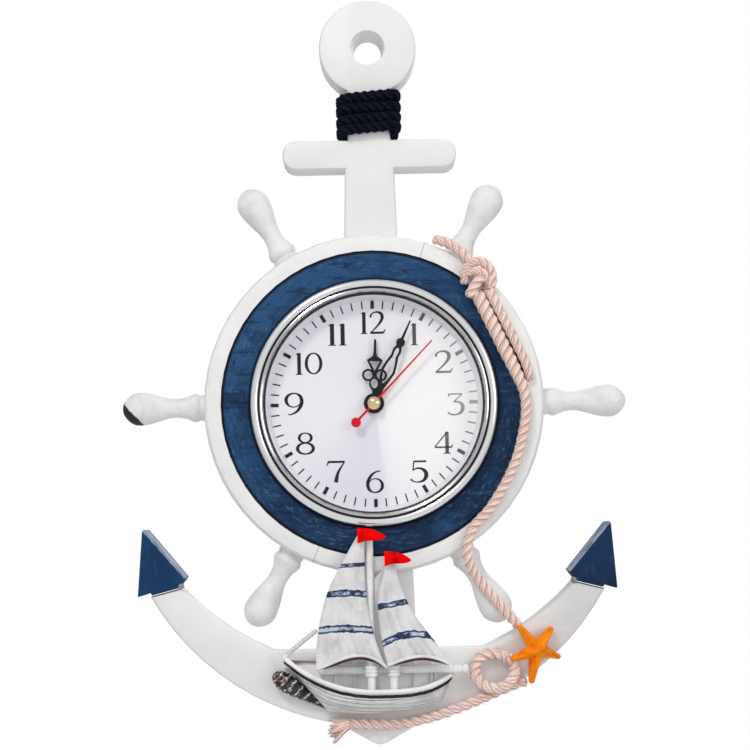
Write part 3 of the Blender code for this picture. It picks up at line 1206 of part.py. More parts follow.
def build_motor():
    """Stator and coil of the stepping motor, and the circuit board with its crystal."""
    rotor = axes()[4]
    half = STATOR_HALF_WIDTH
    bar = STATOR_BAR
    outer = [(rotor[0] - half, rotor[1] - bar / 2), (rotor[0] + half, rotor[1] - bar / 2),
             (rotor[0] + half, rotor[1] + STATOR_HEIGHT + bar / 2),
             (rotor[0] - half, rotor[1] + STATOR_HEIGHT + bar / 2)]
    window = [(rotor[0] - half + bar, rotor[1] + bar / 2),
              (rotor[0] + half - bar, rotor[1] + bar / 2),
              (rotor[0] + half - bar, rotor[1] + STATOR_HEIGHT - bar / 2),
              (rotor[0] - half + bar, rotor[1] + STATOR_HEIGHT - bar / 2)]
    stator = plate("stator", [outer, window], STATOR_DEPTH, STATOR_THICK)
    unite(stator, plate("add_pole", [circle(STATOR_POLE_R, 24, rotor)], STATOR_DEPTH,
                        STATOR_THICK))
    subtract(stator, cylinder("cut_rotor_hole", ROTOR_R + STATOR_GAP, 0.0, THIRD_WHEEL_DEPTH, 24,
                              face_frame(*rotor)))
    finish_piece(stator, (0.45, 0.45, 0.47), 0.4, 1.0)

    centre = (rotor[0], rotor[1] + STATOR_HEIGHT)
    middle = STATOR_DEPTH + STATOR_THICK / 2
    coil = box("coil", (centre[0] - COIL_LENGTH / 2, centre[1] - COIL_WIDTH / 2,
                        middle - COIL_THICK / 2),
               (centre[0] + COIL_LENGTH / 2, centre[1] + COIL_WIDTH / 2, middle + COIL_THICK / 2))
    mod = coil.modifiers.new("wound_edges", 'BEVEL')
    mod.width = COIL_THICK / 4
    mod.segments = 2
    room = STATOR_THICK / 2 + CLEAR
    subtract(coil, box("cut_coil", (centre[0] - COIL_LENGTH, centre[1] - bar / 2 - CLEAR,
                                    middle - room),
                       (centre[0] + COIL_LENGTH, centre[1] + bar / 2 + CLEAR, middle + room)))
    finish_piece(coil, (0.50, 0.22, 0.08), 0.35, 0.6)

    low = (BOARD_X - BOARD_WIDTH / 2, BOARD_Z - BOARD_HEIGHT / 2, STATOR_DEPTH)
    high = (BOARD_X + BOARD_WIDTH / 2, BOARD_Z + BOARD_HEIGHT / 2, STATOR_DEPTH + BOARD_THICK)
    board = box("circuit_board", low, high)
    axis_depth = STATOR_DEPTH + BOARD_THICK + CRYSTAL_R / 2
    lying = face_frame(BOARD_X, BOARD_Z) @ Matrix.Translation((0.0, 0.0, axis_depth)) \
        @ Matrix.Rotation(math.pi / 2, 4, 'X')
    unite(board, cylinder("add_crystal", CRYSTAL_R, -CRYSTAL_LENGTH / 2, CRYSTAL_LENGTH / 2,
                          ARBOR_STEPS, lying))
    finish_piece(board, (0.02, 0.20, 0.08), 0.5)


def build_battery():
    """A round cell lying along X in its bay, between two leaf contacts."""
    bay_top = -BAY_WALL_DROP - BAY_WALL_THICK
    bay_foot = CASE_WALL - CASE_HALF
    height = (bay_top + bay_foot) / 2
    depth = BATTERY_BACK + BATTERY_R
    lying = face_frame(0.0, height) @ Matrix.Translation((0.0, 0.0, depth)) \
        @ Matrix.Rotation(math.pi / 2, 4, 'Y')
    half = BATTERY_LENGTH / 2
    profile = [(0.0, -half), (BATTERY_R, -half), (BATTERY_R, half), (BATTERY_NUB_R, half),
               (BATTERY_NUB_R, half + BATTERY_NUB_LENGTH), (0.0, half + BATTERY_NUB_LENGTH)]
    finish_piece(turned("battery", profile, 24, lying), (0.10, 0.25, 0.12), 0.35, 0.4)
    build_contacts(depth, height, half + CLEAR)


def build_contacts(depth, height, reach):
    """A flat strip at the cell's nub and a folded leaf spring at its flat end."""
    wall = CASE_HALF - CASE_WALL - CLEAR
    low = depth - CONTACT_HEIGHT / 2
    high = depth + CONTACT_HEIGHT / 2
    thick = CONTACT_THICK
    flat = [(wall, low), (wall, high), (wall - thick, high), (wall - thick, low)]
    leaf = [(wall, low), (wall, high), (wall - thick, high), (wall - thick, low + 3 * thick),
            (reach + thick, depth), (reach, depth), (wall - 2 * thick, low)]
    sideways = Matrix.Translation((0.0, 0.0, DIAL_Z + height)) @ Matrix.Rotation(math.pi, 4, 'X')
    back = -CONTACT_WIDTH / 2
    mirrored_leaf = [(-x, y) for x, y in leaf]
    for name, outline in (("contact_plus", flat), ("contact_minus", mirrored_leaf)):
        finish_piece(plate(name, [outline], back, CONTACT_WIDTH, 0.0, sideways),
                     (0.75, 0.75, 0.77), 0.25, 1.0)


# Ropes

def smooth_route(route, step):
    """Points a step apart on a smooth curve through the route's own points."""
    knots = [Vector(point) for point in route]
    knots = [2 * knots[0] - knots[1]] + knots + [2 * knots[-1] - knots[-2]]
    fine = []
    for a, b, c, d in zip(knots, knots[1:], knots[2:], knots[3:]):
        for i in range(16):
            t = i / 16
            fine.append(0.5 * (2 * b + (c - a) * t + (2 * a - 5 * b + 4 * c - d) * t ** 2
                               + (3 * b - a - 3 * c + d) * t ** 3))
    fine.append(knots[-2])
    lengths = [0.0]
    for a, b in zip(fine, fine[1:]):
        lengths.append(lengths[-1] + (b - a).length)
    count = max(3, round(lengths[-1] / step) + 1)
    points, seen = [], 0
    for i in range(count):
        target = lengths[-1] * i / (count - 1)
        while seen < len(fine) - 2 and lengths[seen + 1] < target:
            seen += 1
        share = (target - lengths[seen]) / (lengths[seen + 1] - lengths[seen])
        points.append(tuple(fine[seen].lerp(fine[seen + 1], min(1.0, share))))
    return points


def route_length(points):
    return sum((Vector(b) - Vector(a)).length for a, b in zip(points, points[1:]))


def winding_points():
    """Turns of a rounded rectangle round the neck, from the back's middle downward."""
    room = WINDING_ROPE_R + WINDING_GAP
    half_x = NECK_HALF_WIDTH + room
    low, high = WAIST_BACK - room, BODY_DEPTH + room
    middle, half_d = (low + high) / 2, (high - low) / 2
    corner = WINDING_CORNER
    loop = []
    quarter = WINDING_LOOP_POINTS // 4
    for side_x, side_d, start in ((1, -1, -90), (1, 1, 0), (-1, 1, 90), (-1, -1, 180)):
        centre = (side_x * (half_x - corner), middle + side_d * (half_d - corner))
        for i in range(quarter):
            angle = math.radians(start + 90 * i / (quarter - 1))
            loop.append((centre[0] + corner * math.cos(angle),
                         centre[1] + corner * math.sin(angle)))
    start_point = (0.0, low)
    flat = [start_point] + loop * WINDING_TURNS + [start_point]
    path = [0.0]
    for (x0, d0), (x1, d1) in zip(flat, flat[1:]):
        path.append(path[-1] + math.hypot(x1 - x0, d1 - d0))
    top = HANGER_TO_DIAL + WINDING_TOP
    fall = WINDING_PITCH * WINDING_TURNS / path[-1]
    return [(x, top - fall * run, depth) for (x, depth), run in zip(flat, path)]


def least_gap(points, radius, turn_length):
    """Least distance between points more than half a turn apart, less the thickness."""
    least = None
    run = [0.0]
    for a, b in zip(points, points[1:]):
        run.append(run[-1] + (Vector(b) - Vector(a)).length)
    for i, a in enumerate(points):
        for j in range(i + 1, len(points)):
            if run[j] - run[i] > turn_length / 2:
                gap = (Vector(a) - Vector(points[j])).length - 2 * radius
                least = gap if least is None else min(least, gap)
    return least


def build_winding():
    points = winding_points()
    turn_length = route_length(points) / WINDING_TURNS
    gap = least_gap(points, WINDING_ROPE_R, turn_length)
    print("rope winding: least gap to itself %.2f mm" % (gap * 1000))
    finish_piece(tube("rope_winding", points, WINDING_ROPE_R, 1), (0.01, 0.015, 0.04), 0.9)


def ellipsoid(name, centre, half_size):
    mesh = bpy.data.meshes.new(name)
    form = bmesh.new()
    bmesh.ops.create_uvsphere(form, u_segments=14, v_segments=10, radius=1.0)
    bmesh.ops.scale(form, vec=half_size, verts=form.verts)
    bmesh.ops.translate(form, vec=centre, verts=form.verts)
    form.to_mesh(mesh)
    form.free()
    return link_mesh(name, mesh)


def build_ropes():
    colour = (0.80, 0.62, 0.52)
    for name, route in (("wheel_rope", WHEEL_ROPE_SHARES), ("wheel_rope_tail", TAIL_ROPE_SHARES)):
        points = smooth_route(on_wheel(route), ROPE_STEP)
        print("%s: %.0f mm long" % (name, route_length(points) * 1000))
        finish_piece(tube(name, points, ROPE_R, ROPE_ARC_STEPS), colour, 0.9)
    knot = ellipsoid("rope_knot", on_wheel([KNOT_CENTRE_SHARES])[0], KNOT_HALF_SIZE)
    for route in (KNOT_END_SHARES, KNOT_BUD_SHARES):
        points = smooth_route(on_wheel(route), ROPE_STEP)
        unite(knot, solid_tube("add_knot_end", points, ROPE_R, ROPE_ARC_STEPS))
    finish_piece(knot, colour, 0.9)
    build_hull_rope(colour)


def loop_points():
    """One open loop, whose lower half climbs over the rope beneath it."""
    points = []
    for i in range(LOOP_POINTS):
        angle = LOOP_START + (LOOP_END - LOOP_START) * i / (LOOP_POINTS - 1)
        climb = min(1.0, max(0.0, (angle - LOOP_CLIMB_START) / LOOP_CLIMB_TURN))
        lift = (2 * ROPE_R + CLEAR) * climb * climb * (3 - 2 * climb)
        points.append((LOOP_CENTRE[0] + LOOP_R * math.cos(angle),
                       LOOP_CENTRE[1] + LOOP_R * math.sin(angle),
                       BODY_DEPTH + LOOP_CENTRE[2] + lift))
    return from_arms(points)


def build_hull_rope(colour):
    """The rope under the hull, which ends in a loop, and its frayed other end."""
    route = from_arms([(x, height, BODY_DEPTH + depth) for x, height, depth in HULL_ROPE])
    points = smooth_route(route, ROPE_STEP)
    print("hull_rope: %.0f mm long" % (route_length(points) * 1000))
    start = route[0]
    along = (math.cos(TASSEL_TURN), math.sin(TASSEL_TURN))
    frayed = [(start[0] + along[0] * TASSEL_LENGTH * share,
               start[1] + along[1] * TASSEL_LENGTH * share, start[2])
              for share in TASSEL_POINT_SHARES]
    radii = [TASSEL_END_R / ROPE_R, 1.0 + ROPE_SPREAD_SHARE] + [1.0] * len(points)
    finish_piece(tube("hull_rope", frayed + points, ROPE_R, ROPE_ARC_STEPS, radii), colour, 0.9)
    finish_piece(tube("rope_loop", loop_points(), ROPE_R, ROPE_ARC_STEPS), colour, 0.9)


# Starfish and sea shell

def build_starfish():
    outline = []
    count = len(STAR_ARM_ANGLES)
    for i in range(count):
        angle = STAR_ARM_ANGLES[i]
        reach = STAR_ARM * STAR_ARM_SHARES[i]
        tip = Vector((math.cos(angle), math.sin(angle))) * (reach - STAR_TIP_R)
        for turn in (math.pi / 2, math.pi / 4, 0.0, -math.pi / 4, -math.pi / 2):
            outline.append((tip.x + STAR_TIP_R * math.cos(angle + turn),
                            tip.y + STAR_TIP_R * math.sin(angle + turn)))
        following = STAR_ARM_ANGLES[(i + 1) % count]
        waist = (angle + following) / 2 if following < angle else (angle + following) / 2 + math.pi
        outline.append((STAR_ARM * STAR_WAIST_SHARE * math.cos(waist),
                        STAR_ARM * STAR_WAIST_SHARE * math.sin(waist)))
    frame = face_frame(*from_arms([STAR_CENTRE])[0]) @ Matrix.Translation((0.0, 0.0, STAR_BACK_DEPTH)) \
        @ Matrix.Rotation(STAR_TILT, 4, 'Y')
    star = plate("starfish", [outline], 0.0, STAR_THICK, STAR_EDGE_ROUND, frame)
    finish_piece(star, (1.0, 0.28, 0.01), 0.6)


def build_shell():
    """A pointed spiral shell: a cone with a bulge for each whorl."""
    bow = HULL_MIDDLE_X - HULL_HALF_LENGTH
    blunt, tip = from_arms([SHELL_BLUNT, SHELL_TIP])
    start = Vector((bow + blunt[0], blunt[1], BODY_DEPTH + CLEAR + SHELL_R * (1 + SHELL_BULGE_SHARE)))
    end = Vector((bow + tip[0], tip[1], BODY_DEPTH + CLEAR + SHELL_TIP_R * 2))
    axis = end - start
    length = axis.length
    profile = [(0.0, 0.0), (SHELL_R * 0.5, 0.0)]
    steps = 3 * SHELL_WHORLS
    for i in range(1, steps + 1):
        share = i / steps
        base = SHELL_R * (1 - share) ** 0.85 * min(1.0, 0.75 + share) + SHELL_TIP_R * share
        bulge = 1 + SHELL_BULGE_SHARE * math.sin(math.pi * (share * SHELL_WHORLS % 1.0))
        profile.append((base * bulge, length * share))
    profile.append((0.0, length))
    turn = axis.to_track_quat('Z', 'Y').to_matrix().to_4x4()
    frame = face_frame() @ Matrix.Translation(start) @ turn
    finish_piece(turned("sea_shell", profile, SHELL_STEPS, frame), (0.05, 0.045, 0.045), 0.35)


# Sailing boat

def sheer_height(share):
    """Height of the gunwale; share runs from -1 at the bow to 1 at the stern."""
    low = HULL_LOW_SHARE
    if share < low:
        return SHEER_MIDDLE + (SHEER_BOW - SHEER_MIDDLE) * ((low - share) / (1 + low)) ** 2.25
    return SHEER_MIDDLE + (SHEER_STERN - SHEER_MIDDLE) * ((share - low) / (1 - low)) ** 3.5


def keel_height(x, top):
    bow_end = HULL_MIDDLE_X - HULL_HALF_LENGTH
    stern_end = HULL_MIDDLE_X + HULL_HALF_LENGTH
    if x < KEEL_BOW_X:
        share = (x - bow_end) / (KEEL_BOW_X - bow_end)
        return SHEER_BOW + (KEEL_BOW - SHEER_BOW) * max(share, 0.0) - GUNWALE_R
    if x > KEEL_STERN_X:
        share = (x - KEEL_STERN_X) / (stern_end - KEEL_STERN_X)
        return min(KEEL_STERN + (SHEER_STERN - KEEL_STERN) * share, top) - GUNWALE_R
    share = (x - KEEL_BOW_X) / (KEEL_STERN_X - KEEL_BOW_X)
    straight = KEEL_BOW + (KEEL_STERN - KEEL_BOW) * share
    return straight - KEEL_SAG * 4 * share * (1 - share) - GUNWALE_R


def hull_depth(share):
    """Depth of the hull's side at the gunwale."""
    return HULL_END_DEPTH + (HULL_FRONT_DEPTH - HULL_END_DEPTH) * (1 - abs(share) ** 2.4)


def station(number):
    share = -1 + 2 * number / (HULL_STATIONS - 1)
    return share, HULL_MIDDLE_X + HULL_HALF_LENGTH * share


def loft(name, rings):
    """Closed rings of equal count joined in order, with a cap at each end."""
    mesh = bpy.data.meshes.new(name)
    form = bmesh.new()
    rows = [[form.verts.new(point) for point in ring] for ring in rings]
    for row, after in zip(rows, rows[1:]):
        for i in range(len(row)):
            j = (i + 1) % len(row)
            form.faces.new((row[i], row[j], after[j], after[i]))
    form.faces.new(rows[0])
    form.faces.new(reversed(rows[-1]))
    bmesh.ops.recalc_face_normals(form, faces=form.faces)
    form.to_mesh(mesh)
    form.free()
    return link_mesh(name, mesh)


def build_hull():
    back = BODY_DEPTH + 2 * CLEAR + PANEL_THICK
    rings = []
    for number in range(HULL_STATIONS):
        share, x = station(number)
        top = sheer_height(share)
        keel = min(keel_height(x, top), top - 2 * GUNWALE_R)
        side = hull_depth(share) - back
        rings.append(from_arms([(x, top - (top - keel) * down, back + side * out)
                                for down, out in HULL_SECTION_SHARES]))
    hull = finish_piece(loft("boat_hull", rings), (0.80, 0.80, 0.79), 0.5)
    rail = []
    for number in range(HULL_STATIONS):
        share, x = station(number)
        rail.append((x, sheer_height(share) + GUNWALE_R / 2, hull_depth(share)))
    unite(hull, solid_tube("add_gunwale", from_arms(rail), GUNWALE_R, 1))


def build_panel():
    """The far side of the hull against the anchor, with its ribs."""
    stern = HULL_MIDDLE_X + HULL_HALF_LENGTH
    bow = HULL_MIDDLE_X - HULL_HALF_LENGTH
    outline = [(bow, PANEL_TOP_BOW), (bow, PANEL_TOP_BOW - 3 * GUNWALE_R)]
    for number in range(1, HULL_STATIONS - 1):
        share, x = station(number)
        top = sheer_height(share)
        keel = min(keel_height(x, top), top - 2 * GUNWALE_R)
        outline.append((x, keel + (top - keel) / 2))
    outline += [(stern, PANEL_TOP_STERN - 3 * GUNWALE_R), (stern, PANEL_TOP_STERN)]
    back = BODY_DEPTH + CLEAR
    panel = plate("hull_panel", [from_arms(outline)], back, PANEL_THICK)
    first, last = MAIN_MAST_X - HULL_HALF_LENGTH / 3, AFT_MAST_X + HULL_HALF_LENGTH / 2
    for rib in range(PANEL_RIBS):
        x = first + (last - first) * rib / (PANEL_RIBS - 1)
        share = (x - HULL_MIDDLE_X) / HULL_HALF_LENGTH
        foot = sheer_height(share) + 3 * CLEAR
        top = PANEL_TOP_BOW + (PANEL_TOP_STERN - PANEL_TOP_BOW) * (share + 1) / 2 - GUNWALE_R
        low, high = from_arms([(x - RIB_WIDTH / 2, foot, back + PANEL_THICK / 2),
                               (x + RIB_WIDTH / 2, top, back + PANEL_THICK + RIB_THICK)])
        unite(panel, box("add_rib", low, high))
    finish_piece(panel, (0.78, 0.76, 0.75), 0.55)


def deck_height(x):
    """Top of the hull's solid at a mast."""
    return sheer_height((x - HULL_MIDDLE_X) / HULL_HALF_LENGTH)


def upright(x, height, depth):
    """Local Z points up the mast."""
    return Matrix.Translation((x, -depth, GLUED_Z + height))


def build_rig():
    white = (0.84, 0.84, 0.83)
    for name, x, top in (("main_mast", MAIN_MAST_X, MAIN_MAST_TOP),
                         ("aft_mast", AFT_MAST_X, AFT_MAST_TOP)):
        finish_piece(build_mast(name, x, top), white, 0.45)
    build_boom(white)
    build_sail("fore_sail", FORE_SAIL_SHARES, MAIN_MAST_TOP, MAST_FRONT)
    build_sail("aft_sail", AFT_SAIL_SHARES, AFT_MAST_TOP, MAST_FRONT + CLEAR)
    depth = MAST_DEPTH - STAYSAIL_THICK / 2
    staysail = from_arms(on_hull(STAYSAIL_SHARES, MAIN_MAST_TOP))
    finish_piece(plate("staysail", [staysail], depth, STAYSAIL_THICK), white, 0.6)
    build_pennant("main_pennant", MAIN_PENNANT_SHARES, MAIN_MAST_TOP, MAIN_PENNANT_LIFT)
    build_pennant("aft_pennant", AFT_PENNANT_SHARES, AFT_MAST_TOP, AFT_PENNANT_LIFT)
    bow = HULL_MIDDLE_X - HULL_HALF_LENGTH
    route = [(bow + x * HULL_HALF_LENGTH, height * MAIN_MAST_TOP,
              HULL_END_DEPTH + (HULL_FRONT_DEPTH - HULL_END_DEPTH) * depth)
             for x, height, depth in STAY_SHARES]
    stay = [tuple(point) for point in smooth_route(from_arms(route), 4 * STAY_R)]
    finish_piece(tube("forestay", stay, STAY_R, 1), white, 0.8)


def build_mast(name, x, top):
    """A round mast with turns of cord round it in front of the boom."""
    foot = deck_height(x) + CLEAR
    turn = LASHING_HEIGHT / LASHING_TURNS
    groove = (LASHING_R + MAST_R) / 2
    start = LASHING_TOP - LASHING_HEIGHT - foot
    profile = [(0.0, 0.0), (MAST_R, 0.0), (MAST_R, start), (groove, start)]
    for number in range(LASHING_TURNS):
        profile += [(LASHING_R, start + turn * (number + 0.25)),
                    (LASHING_R, start + turn * (number + 0.75)),
                    (groove, start + turn * (number + 1))]
    profile += [(MAST_R, start + LASHING_HEIGHT), (MAST_R, top - foot), (0.0, top - foot)]
    return turned(name, profile, MAST_STEPS, upright(x, foot, MAST_DEPTH))


def build_boom(colour):
    """A round boom behind the masts, with a collar and a ball at its after end."""
    depth = MAST_DEPTH - LASHING_R - CLEAR - BOOM_R
    length = BOOM_END_X - BOOM_BOW_X
    ball = BOOM_BALL_R
    profile = [(0.0, 0.0), (BOOM_R, 0.0), (BOOM_R, length - 4 * ball),
               (BOOM_COLLAR_R, length - 4 * ball), (BOOM_COLLAR_R, length - 3 * ball),
               (BOOM_R, length - 3 * ball), (BOOM_R, length - BOOM_NECK_SHARE * ball)]
    profile += [(ball * math.sin(angle), length - ball - ball * math.cos(angle))
                for angle in (math.radians(a) for a in (60, 90, 120, 150))]
    profile.append((0.0, length))
    frame = Matrix.Translation((BOOM_BOW_X, -depth, GLUED_Z + BOOM_HEIGHT)) \
        @ Matrix.Rotation(math.pi / 2, 4, 'Y')
    finish_piece(turned("boom", profile, MAST_STEPS, frame), colour, 0.5)


def build_sail(name, shares, mast_top, back):
    """A billowed sheet between its two edges, in front of its mast, with an arched foot."""
    mesh = bpy.data.meshes.new(name)
    form = bmesh.new()
    grid = []
    for number, (left_share, right_share, height_share) in enumerate(shares):
        left = HULL_MIDDLE_X + left_share * HULL_HALF_LENGTH
        right = HULL_MIDDLE_X + right_share * HULL_HALF_LENGTH
        height = height_share * mast_top - ARM_INNER_R
        row = []
        for column in range(SAIL_COLUMNS):
            across = column / (SAIL_COLUMNS - 1)
            swell = 4 * across * (1 - across)
            fill = math.sin(math.pi * min(1.0, (number + 1) / len(shares)) * 0.75)
            rise = FOOT_ARCH_SHARE * (right - left) * swell if number == len(shares) - 1 else 0.0
            depth = back + SAIL_THICK / 2 + SAIL_BILLOW * swell * fill
            row.append(form.verts.new((left + (right - left) * across, height + rise, depth)))
        grid.append(row)
    for row, below in zip(grid, grid[1:]):
        for column in range(SAIL_COLUMNS - 1):
            form.faces.new((row[column], below[column], below[column + 1], row[column + 1]))
    form.to_mesh(mesh)
    form.free()
    sail = link_mesh(name, mesh)
    mod = sail.modifiers.new("cloth_thickness", 'SOLIDIFY')
    mod.thickness = SAIL_THICK
    mod.offset = 0.0
    finish_piece(sail, (0.78, 0.76, 0.78), 0.6)


def build_pennant(name, hoist_share, mast_top, lift):
    """A small flag at the mast head, against the head of the sail, which points aft."""
    right = [(PENNANT_LENGTH * along, PENNANT_HEIGHT * half) for along, half in PENNANT_SHARES]
    outline = right + [(x, -y) for x, y in reversed(right[:-1])]
    hoist = on_hull([hoist_share], mast_top)[0]
    placed = from_arms([(hoist[0] + x, hoist[1] + y) for x, y in outline])
    finish_piece(plate(name, [placed], MAST_FRONT + lift, PENNANT_THICK, PENNANT_THICK / 4),
                 (0.90, 0.01, 0.01), 0.45)


# Hanger

def build_hanger():
    half = HANGER_LENGTH / 2
    low, high = -HANGER_HEIGHT / 2, HANGER_HEIGHT / 2
    toothed = half - 2 * NAIL_INSET
    outline = [(-half, low), (-toothed, low)]
    pitch = 2 * toothed / HANGER_TEETH
    for tooth in range(HANGER_TEETH):
        start = -toothed + pitch * tooth
        outline += [(start + pitch / 2, low + HANGER_TOOTH_DEPTH), (start + pitch, low)]
    outline += [(half, low), (half, high), (-half, high)]
    placed = [(x, y + HANGER_TO_DIAL) for x, y in outline]
    back = HANGER_RECESS_DEPTH - HANGER_THICK - CLEAR
    strip = plate("wall_hanger", [placed], back, HANGER_THICK)
    for side, name in ((-1, "nail_left"), (1, "nail_right")):
        frame = face_frame(side * (half - NAIL_INSET), HANGER_TO_DIAL)
        subtract(strip, cylinder("cut_nail_hole", NAIL_R + CLEAR, back - CUT_OVERRUN,
                                 back + HANGER_THICK + CUT_OVERRUN, ARBOR_STEPS, frame))
        head = back - CLEAR
        profile = [(0.0, head - NAIL_HEAD_THICK), (NAIL_HEAD_R, head - NAIL_HEAD_THICK),
                   (NAIL_HEAD_R, head), (NAIL_R, head), (NAIL_R, head + NAIL_LENGTH),
                   (0.0, head + NAIL_LENGTH + 2 * NAIL_R)]
        finish_piece(turned(name, profile, ARBOR_STEPS, frame), (0.70, 0.71, 0.72), 0.3, 1.0)
    finish_piece(strip, (0.70, 0.71, 0.72), 0.3, 1.0)


clear_scene()
PARTS = new_collection("anchor_wall_clock")
CUTTERS = new_collection("cutters")
build_anchor()
build_wheel()
build_insert()
build_hour_hand()
build_minute_hand()
build_second_hand()
build_cap()
build_going_train()
build_motion_work()
build_case()
build_motor()
build_battery()
build_winding()
build_ropes()
build_starfish()
build_shell()
build_hull()
build_panel()
build_rig()
build_hanger()
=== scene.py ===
"""Looks of the anchor wall clock: finishes, ropes, dial markings and the finer forms of its pieces."""

import math

import bpy
import bmesh
from mathutils import Matrix, Vector, noise


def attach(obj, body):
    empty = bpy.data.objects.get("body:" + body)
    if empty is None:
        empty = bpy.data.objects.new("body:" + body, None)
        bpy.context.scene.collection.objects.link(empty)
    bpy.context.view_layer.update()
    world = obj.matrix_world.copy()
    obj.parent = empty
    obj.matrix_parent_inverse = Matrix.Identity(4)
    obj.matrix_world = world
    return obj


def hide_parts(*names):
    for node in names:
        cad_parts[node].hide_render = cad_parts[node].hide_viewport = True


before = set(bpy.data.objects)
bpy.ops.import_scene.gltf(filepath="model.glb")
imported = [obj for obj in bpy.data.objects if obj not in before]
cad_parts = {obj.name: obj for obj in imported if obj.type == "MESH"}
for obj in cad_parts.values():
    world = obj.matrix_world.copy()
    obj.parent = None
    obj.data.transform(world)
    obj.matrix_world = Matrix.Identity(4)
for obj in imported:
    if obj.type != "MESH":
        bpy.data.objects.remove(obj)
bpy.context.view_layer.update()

# Lengths are in millimetres from the dial's axis: x, height, depth in front of the wall.
MM = 0.001
TAU = 2 * math.pi
DIAL_Z = -0.1165
UP = Vector((0.0, 1.0, 0.0))
OUT = Vector((0.0, 0.0, 1.0))


def at(x, height, depth):
    return Vector((x * MM, -depth * MM, DIAL_Z + height * MM))


def to_scene(name, data):
    obj = bpy.data.objects.new(name, data)
    bpy.context.scene.collection.objects.link(obj)
    return obj


# Steps of materials

class Tree:
    """A node tree made of steps, whose inputs are set or linked as they are added."""

    def __init__(self, tree):
        self.tree = tree
        tree.nodes.clear()

    def add(self, kind, inputs=(), **settings):
        step = self.tree.nodes.new(kind)
        for name, value in settings.items():
            setattr(step, name, value)
        for name, value in dict(inputs).items():
            self.feed(step.inputs[name], value)
        return step

    def feed(self, target, value):
        """Links a socket, or sets a number or a colour."""
        if hasattr(value, 'is_output'):
            self.tree.links.new(value, target)
        elif target.type == 'RGBA':
            target.default_value = (*value, 1.0)
        else:
            target.default_value = value

    def math(self, operation, *values):
        return self.add('ShaderNodeMath', enumerate(values), operation=operation).outputs[0]

    def times(self, a, b):
        return self.math('MULTIPLY', a, b)

    def plus(self, a, b):
        return self.math('ADD', a, b)

    def scaled(self, value, by, more):
        return self.math('MULTIPLY_ADD', value, by, more)

    def off(self, value, from_value):
        """Distance of a value from another."""
        return self.math('ABSOLUTE', self.plus(value, -from_value))

    def split(self, vector):
        return tuple(self.add('ShaderNodeSeparateXYZ', {0: vector}).outputs)

    def ramp(self, value, stops):
        step = self.add('ShaderNodeValToRGB', {0: value})
        elements = step.color_ramp.elements
        while len(elements) < len(stops):
            elements.new(0.5)
        for element, (place, colour) in zip(elements, stops):
            element.position = place
            element.color = (*(colour if isinstance(colour, tuple) else (colour,) * 3), 1.0)
        return step.outputs[0]


class Finish(Tree):
    """A procedural material; object coordinates are metres in the part's frame."""

    def __init__(self, name, colour, roughness, metallic=0.0, specular=0.5):
        self.material = bpy.data.materials.new(name)
        self.material.use_nodes = True
        super().__init__(self.material.node_tree)
        self.shader = self.add('ShaderNodeBsdfPrincipled', {
            'Base Color': colour, 'Roughness': roughness, 'Metallic': metallic,
            'Specular IOR Level': specular})
        self.add('ShaderNodeOutputMaterial', {'Surface': self.shader.outputs[0]})
        self.place = self.add('ShaderNodeTexCoord')
        self.normal = None

    def set(self, name, value):
        self.feed(self.shader.inputs[name], value)

    def colour(self, value):
        self.set('Base Color', value)

    def rough(self, value, by, more):
        self.set('Roughness', self.scaled(value, by, more))

    def coords(self, scale=(1.0, 1.0, 1.0), shift=(0.0, 0.0, 0.0)):
        return self.add('ShaderNodeMapping', {
            'Vector': self.place.outputs['Object'], 'Scale': scale, 'Location': shift}).outputs[0]

    def from_dial(self):
        """Metres across, in depth and up from the dial's axis."""
        return self.split(self.coords(shift=(0.0, 0.0, -DIAL_Z)))

    def uv(self):
        """Place along and across, from the mesh."""
        return self.split(self.place.outputs['UV'])[:2]

    def join(self, *values):
        return self.add('ShaderNodeCombineXYZ', enumerate(values)).outputs[0]

    def noise(self, scale, detail=2.0, roughness=0.5, vector=None):
        return self.add('ShaderNodeTexNoise', {
            'Vector': vector or self.place.outputs['Object'], 'Scale': scale, 'Detail': detail,
            'Roughness': roughness}).outputs[0]

    def grain(self, stretch, detail=3.0, roughness=0.6):
        return self.noise(1.0, detail, roughness, self.coords(stretch))

    def cells(self, scale, vector=None):
        return self.add('ShaderNodeTexVoronoi', {
            'Vector': vector or self.place.outputs['Object'], 'Scale': scale}).outputs['Distance']

    def mix(self, share, a, b, blend='MIX'):
        return self.add('ShaderNodeMix', data_type='RGBA', blend_type=blend,
                        inputs={0: share, 6: a, 7: b}).outputs[2]

    def shaded(self, colour, shade):
        return self.mix(1.0, colour, shade, 'MULTIPLY')

    def cover(self, base, where, stops, colour):
        """Lays a colour over the base where a value's ramp says so."""
        return self.mix(self.ramp(where, stops), base, colour)

    def bump(self, height, strength, distance):
        step = self.add('ShaderNodeBump', {'Strength': strength, 'Distance': distance, 'Height': height})
        if self.normal:
            self.feed(step.inputs['Normal'], self.normal)
        self.normal = step.outputs[0]
        self.set('Normal', self.normal)


# Camera, light and floor

CAMERA_PLACE = (0.02, -57.9, 835.0)
CAMERA_TILT = math.radians(2.5)
CAMERA_ROLL = math.radians(1.1)
CAMERA_LENS = 85.57
CAMERA_SHIFT = 0.1029
# what the lamps point at
LIT_PLACE = (0.0, -30.0, 20.0)
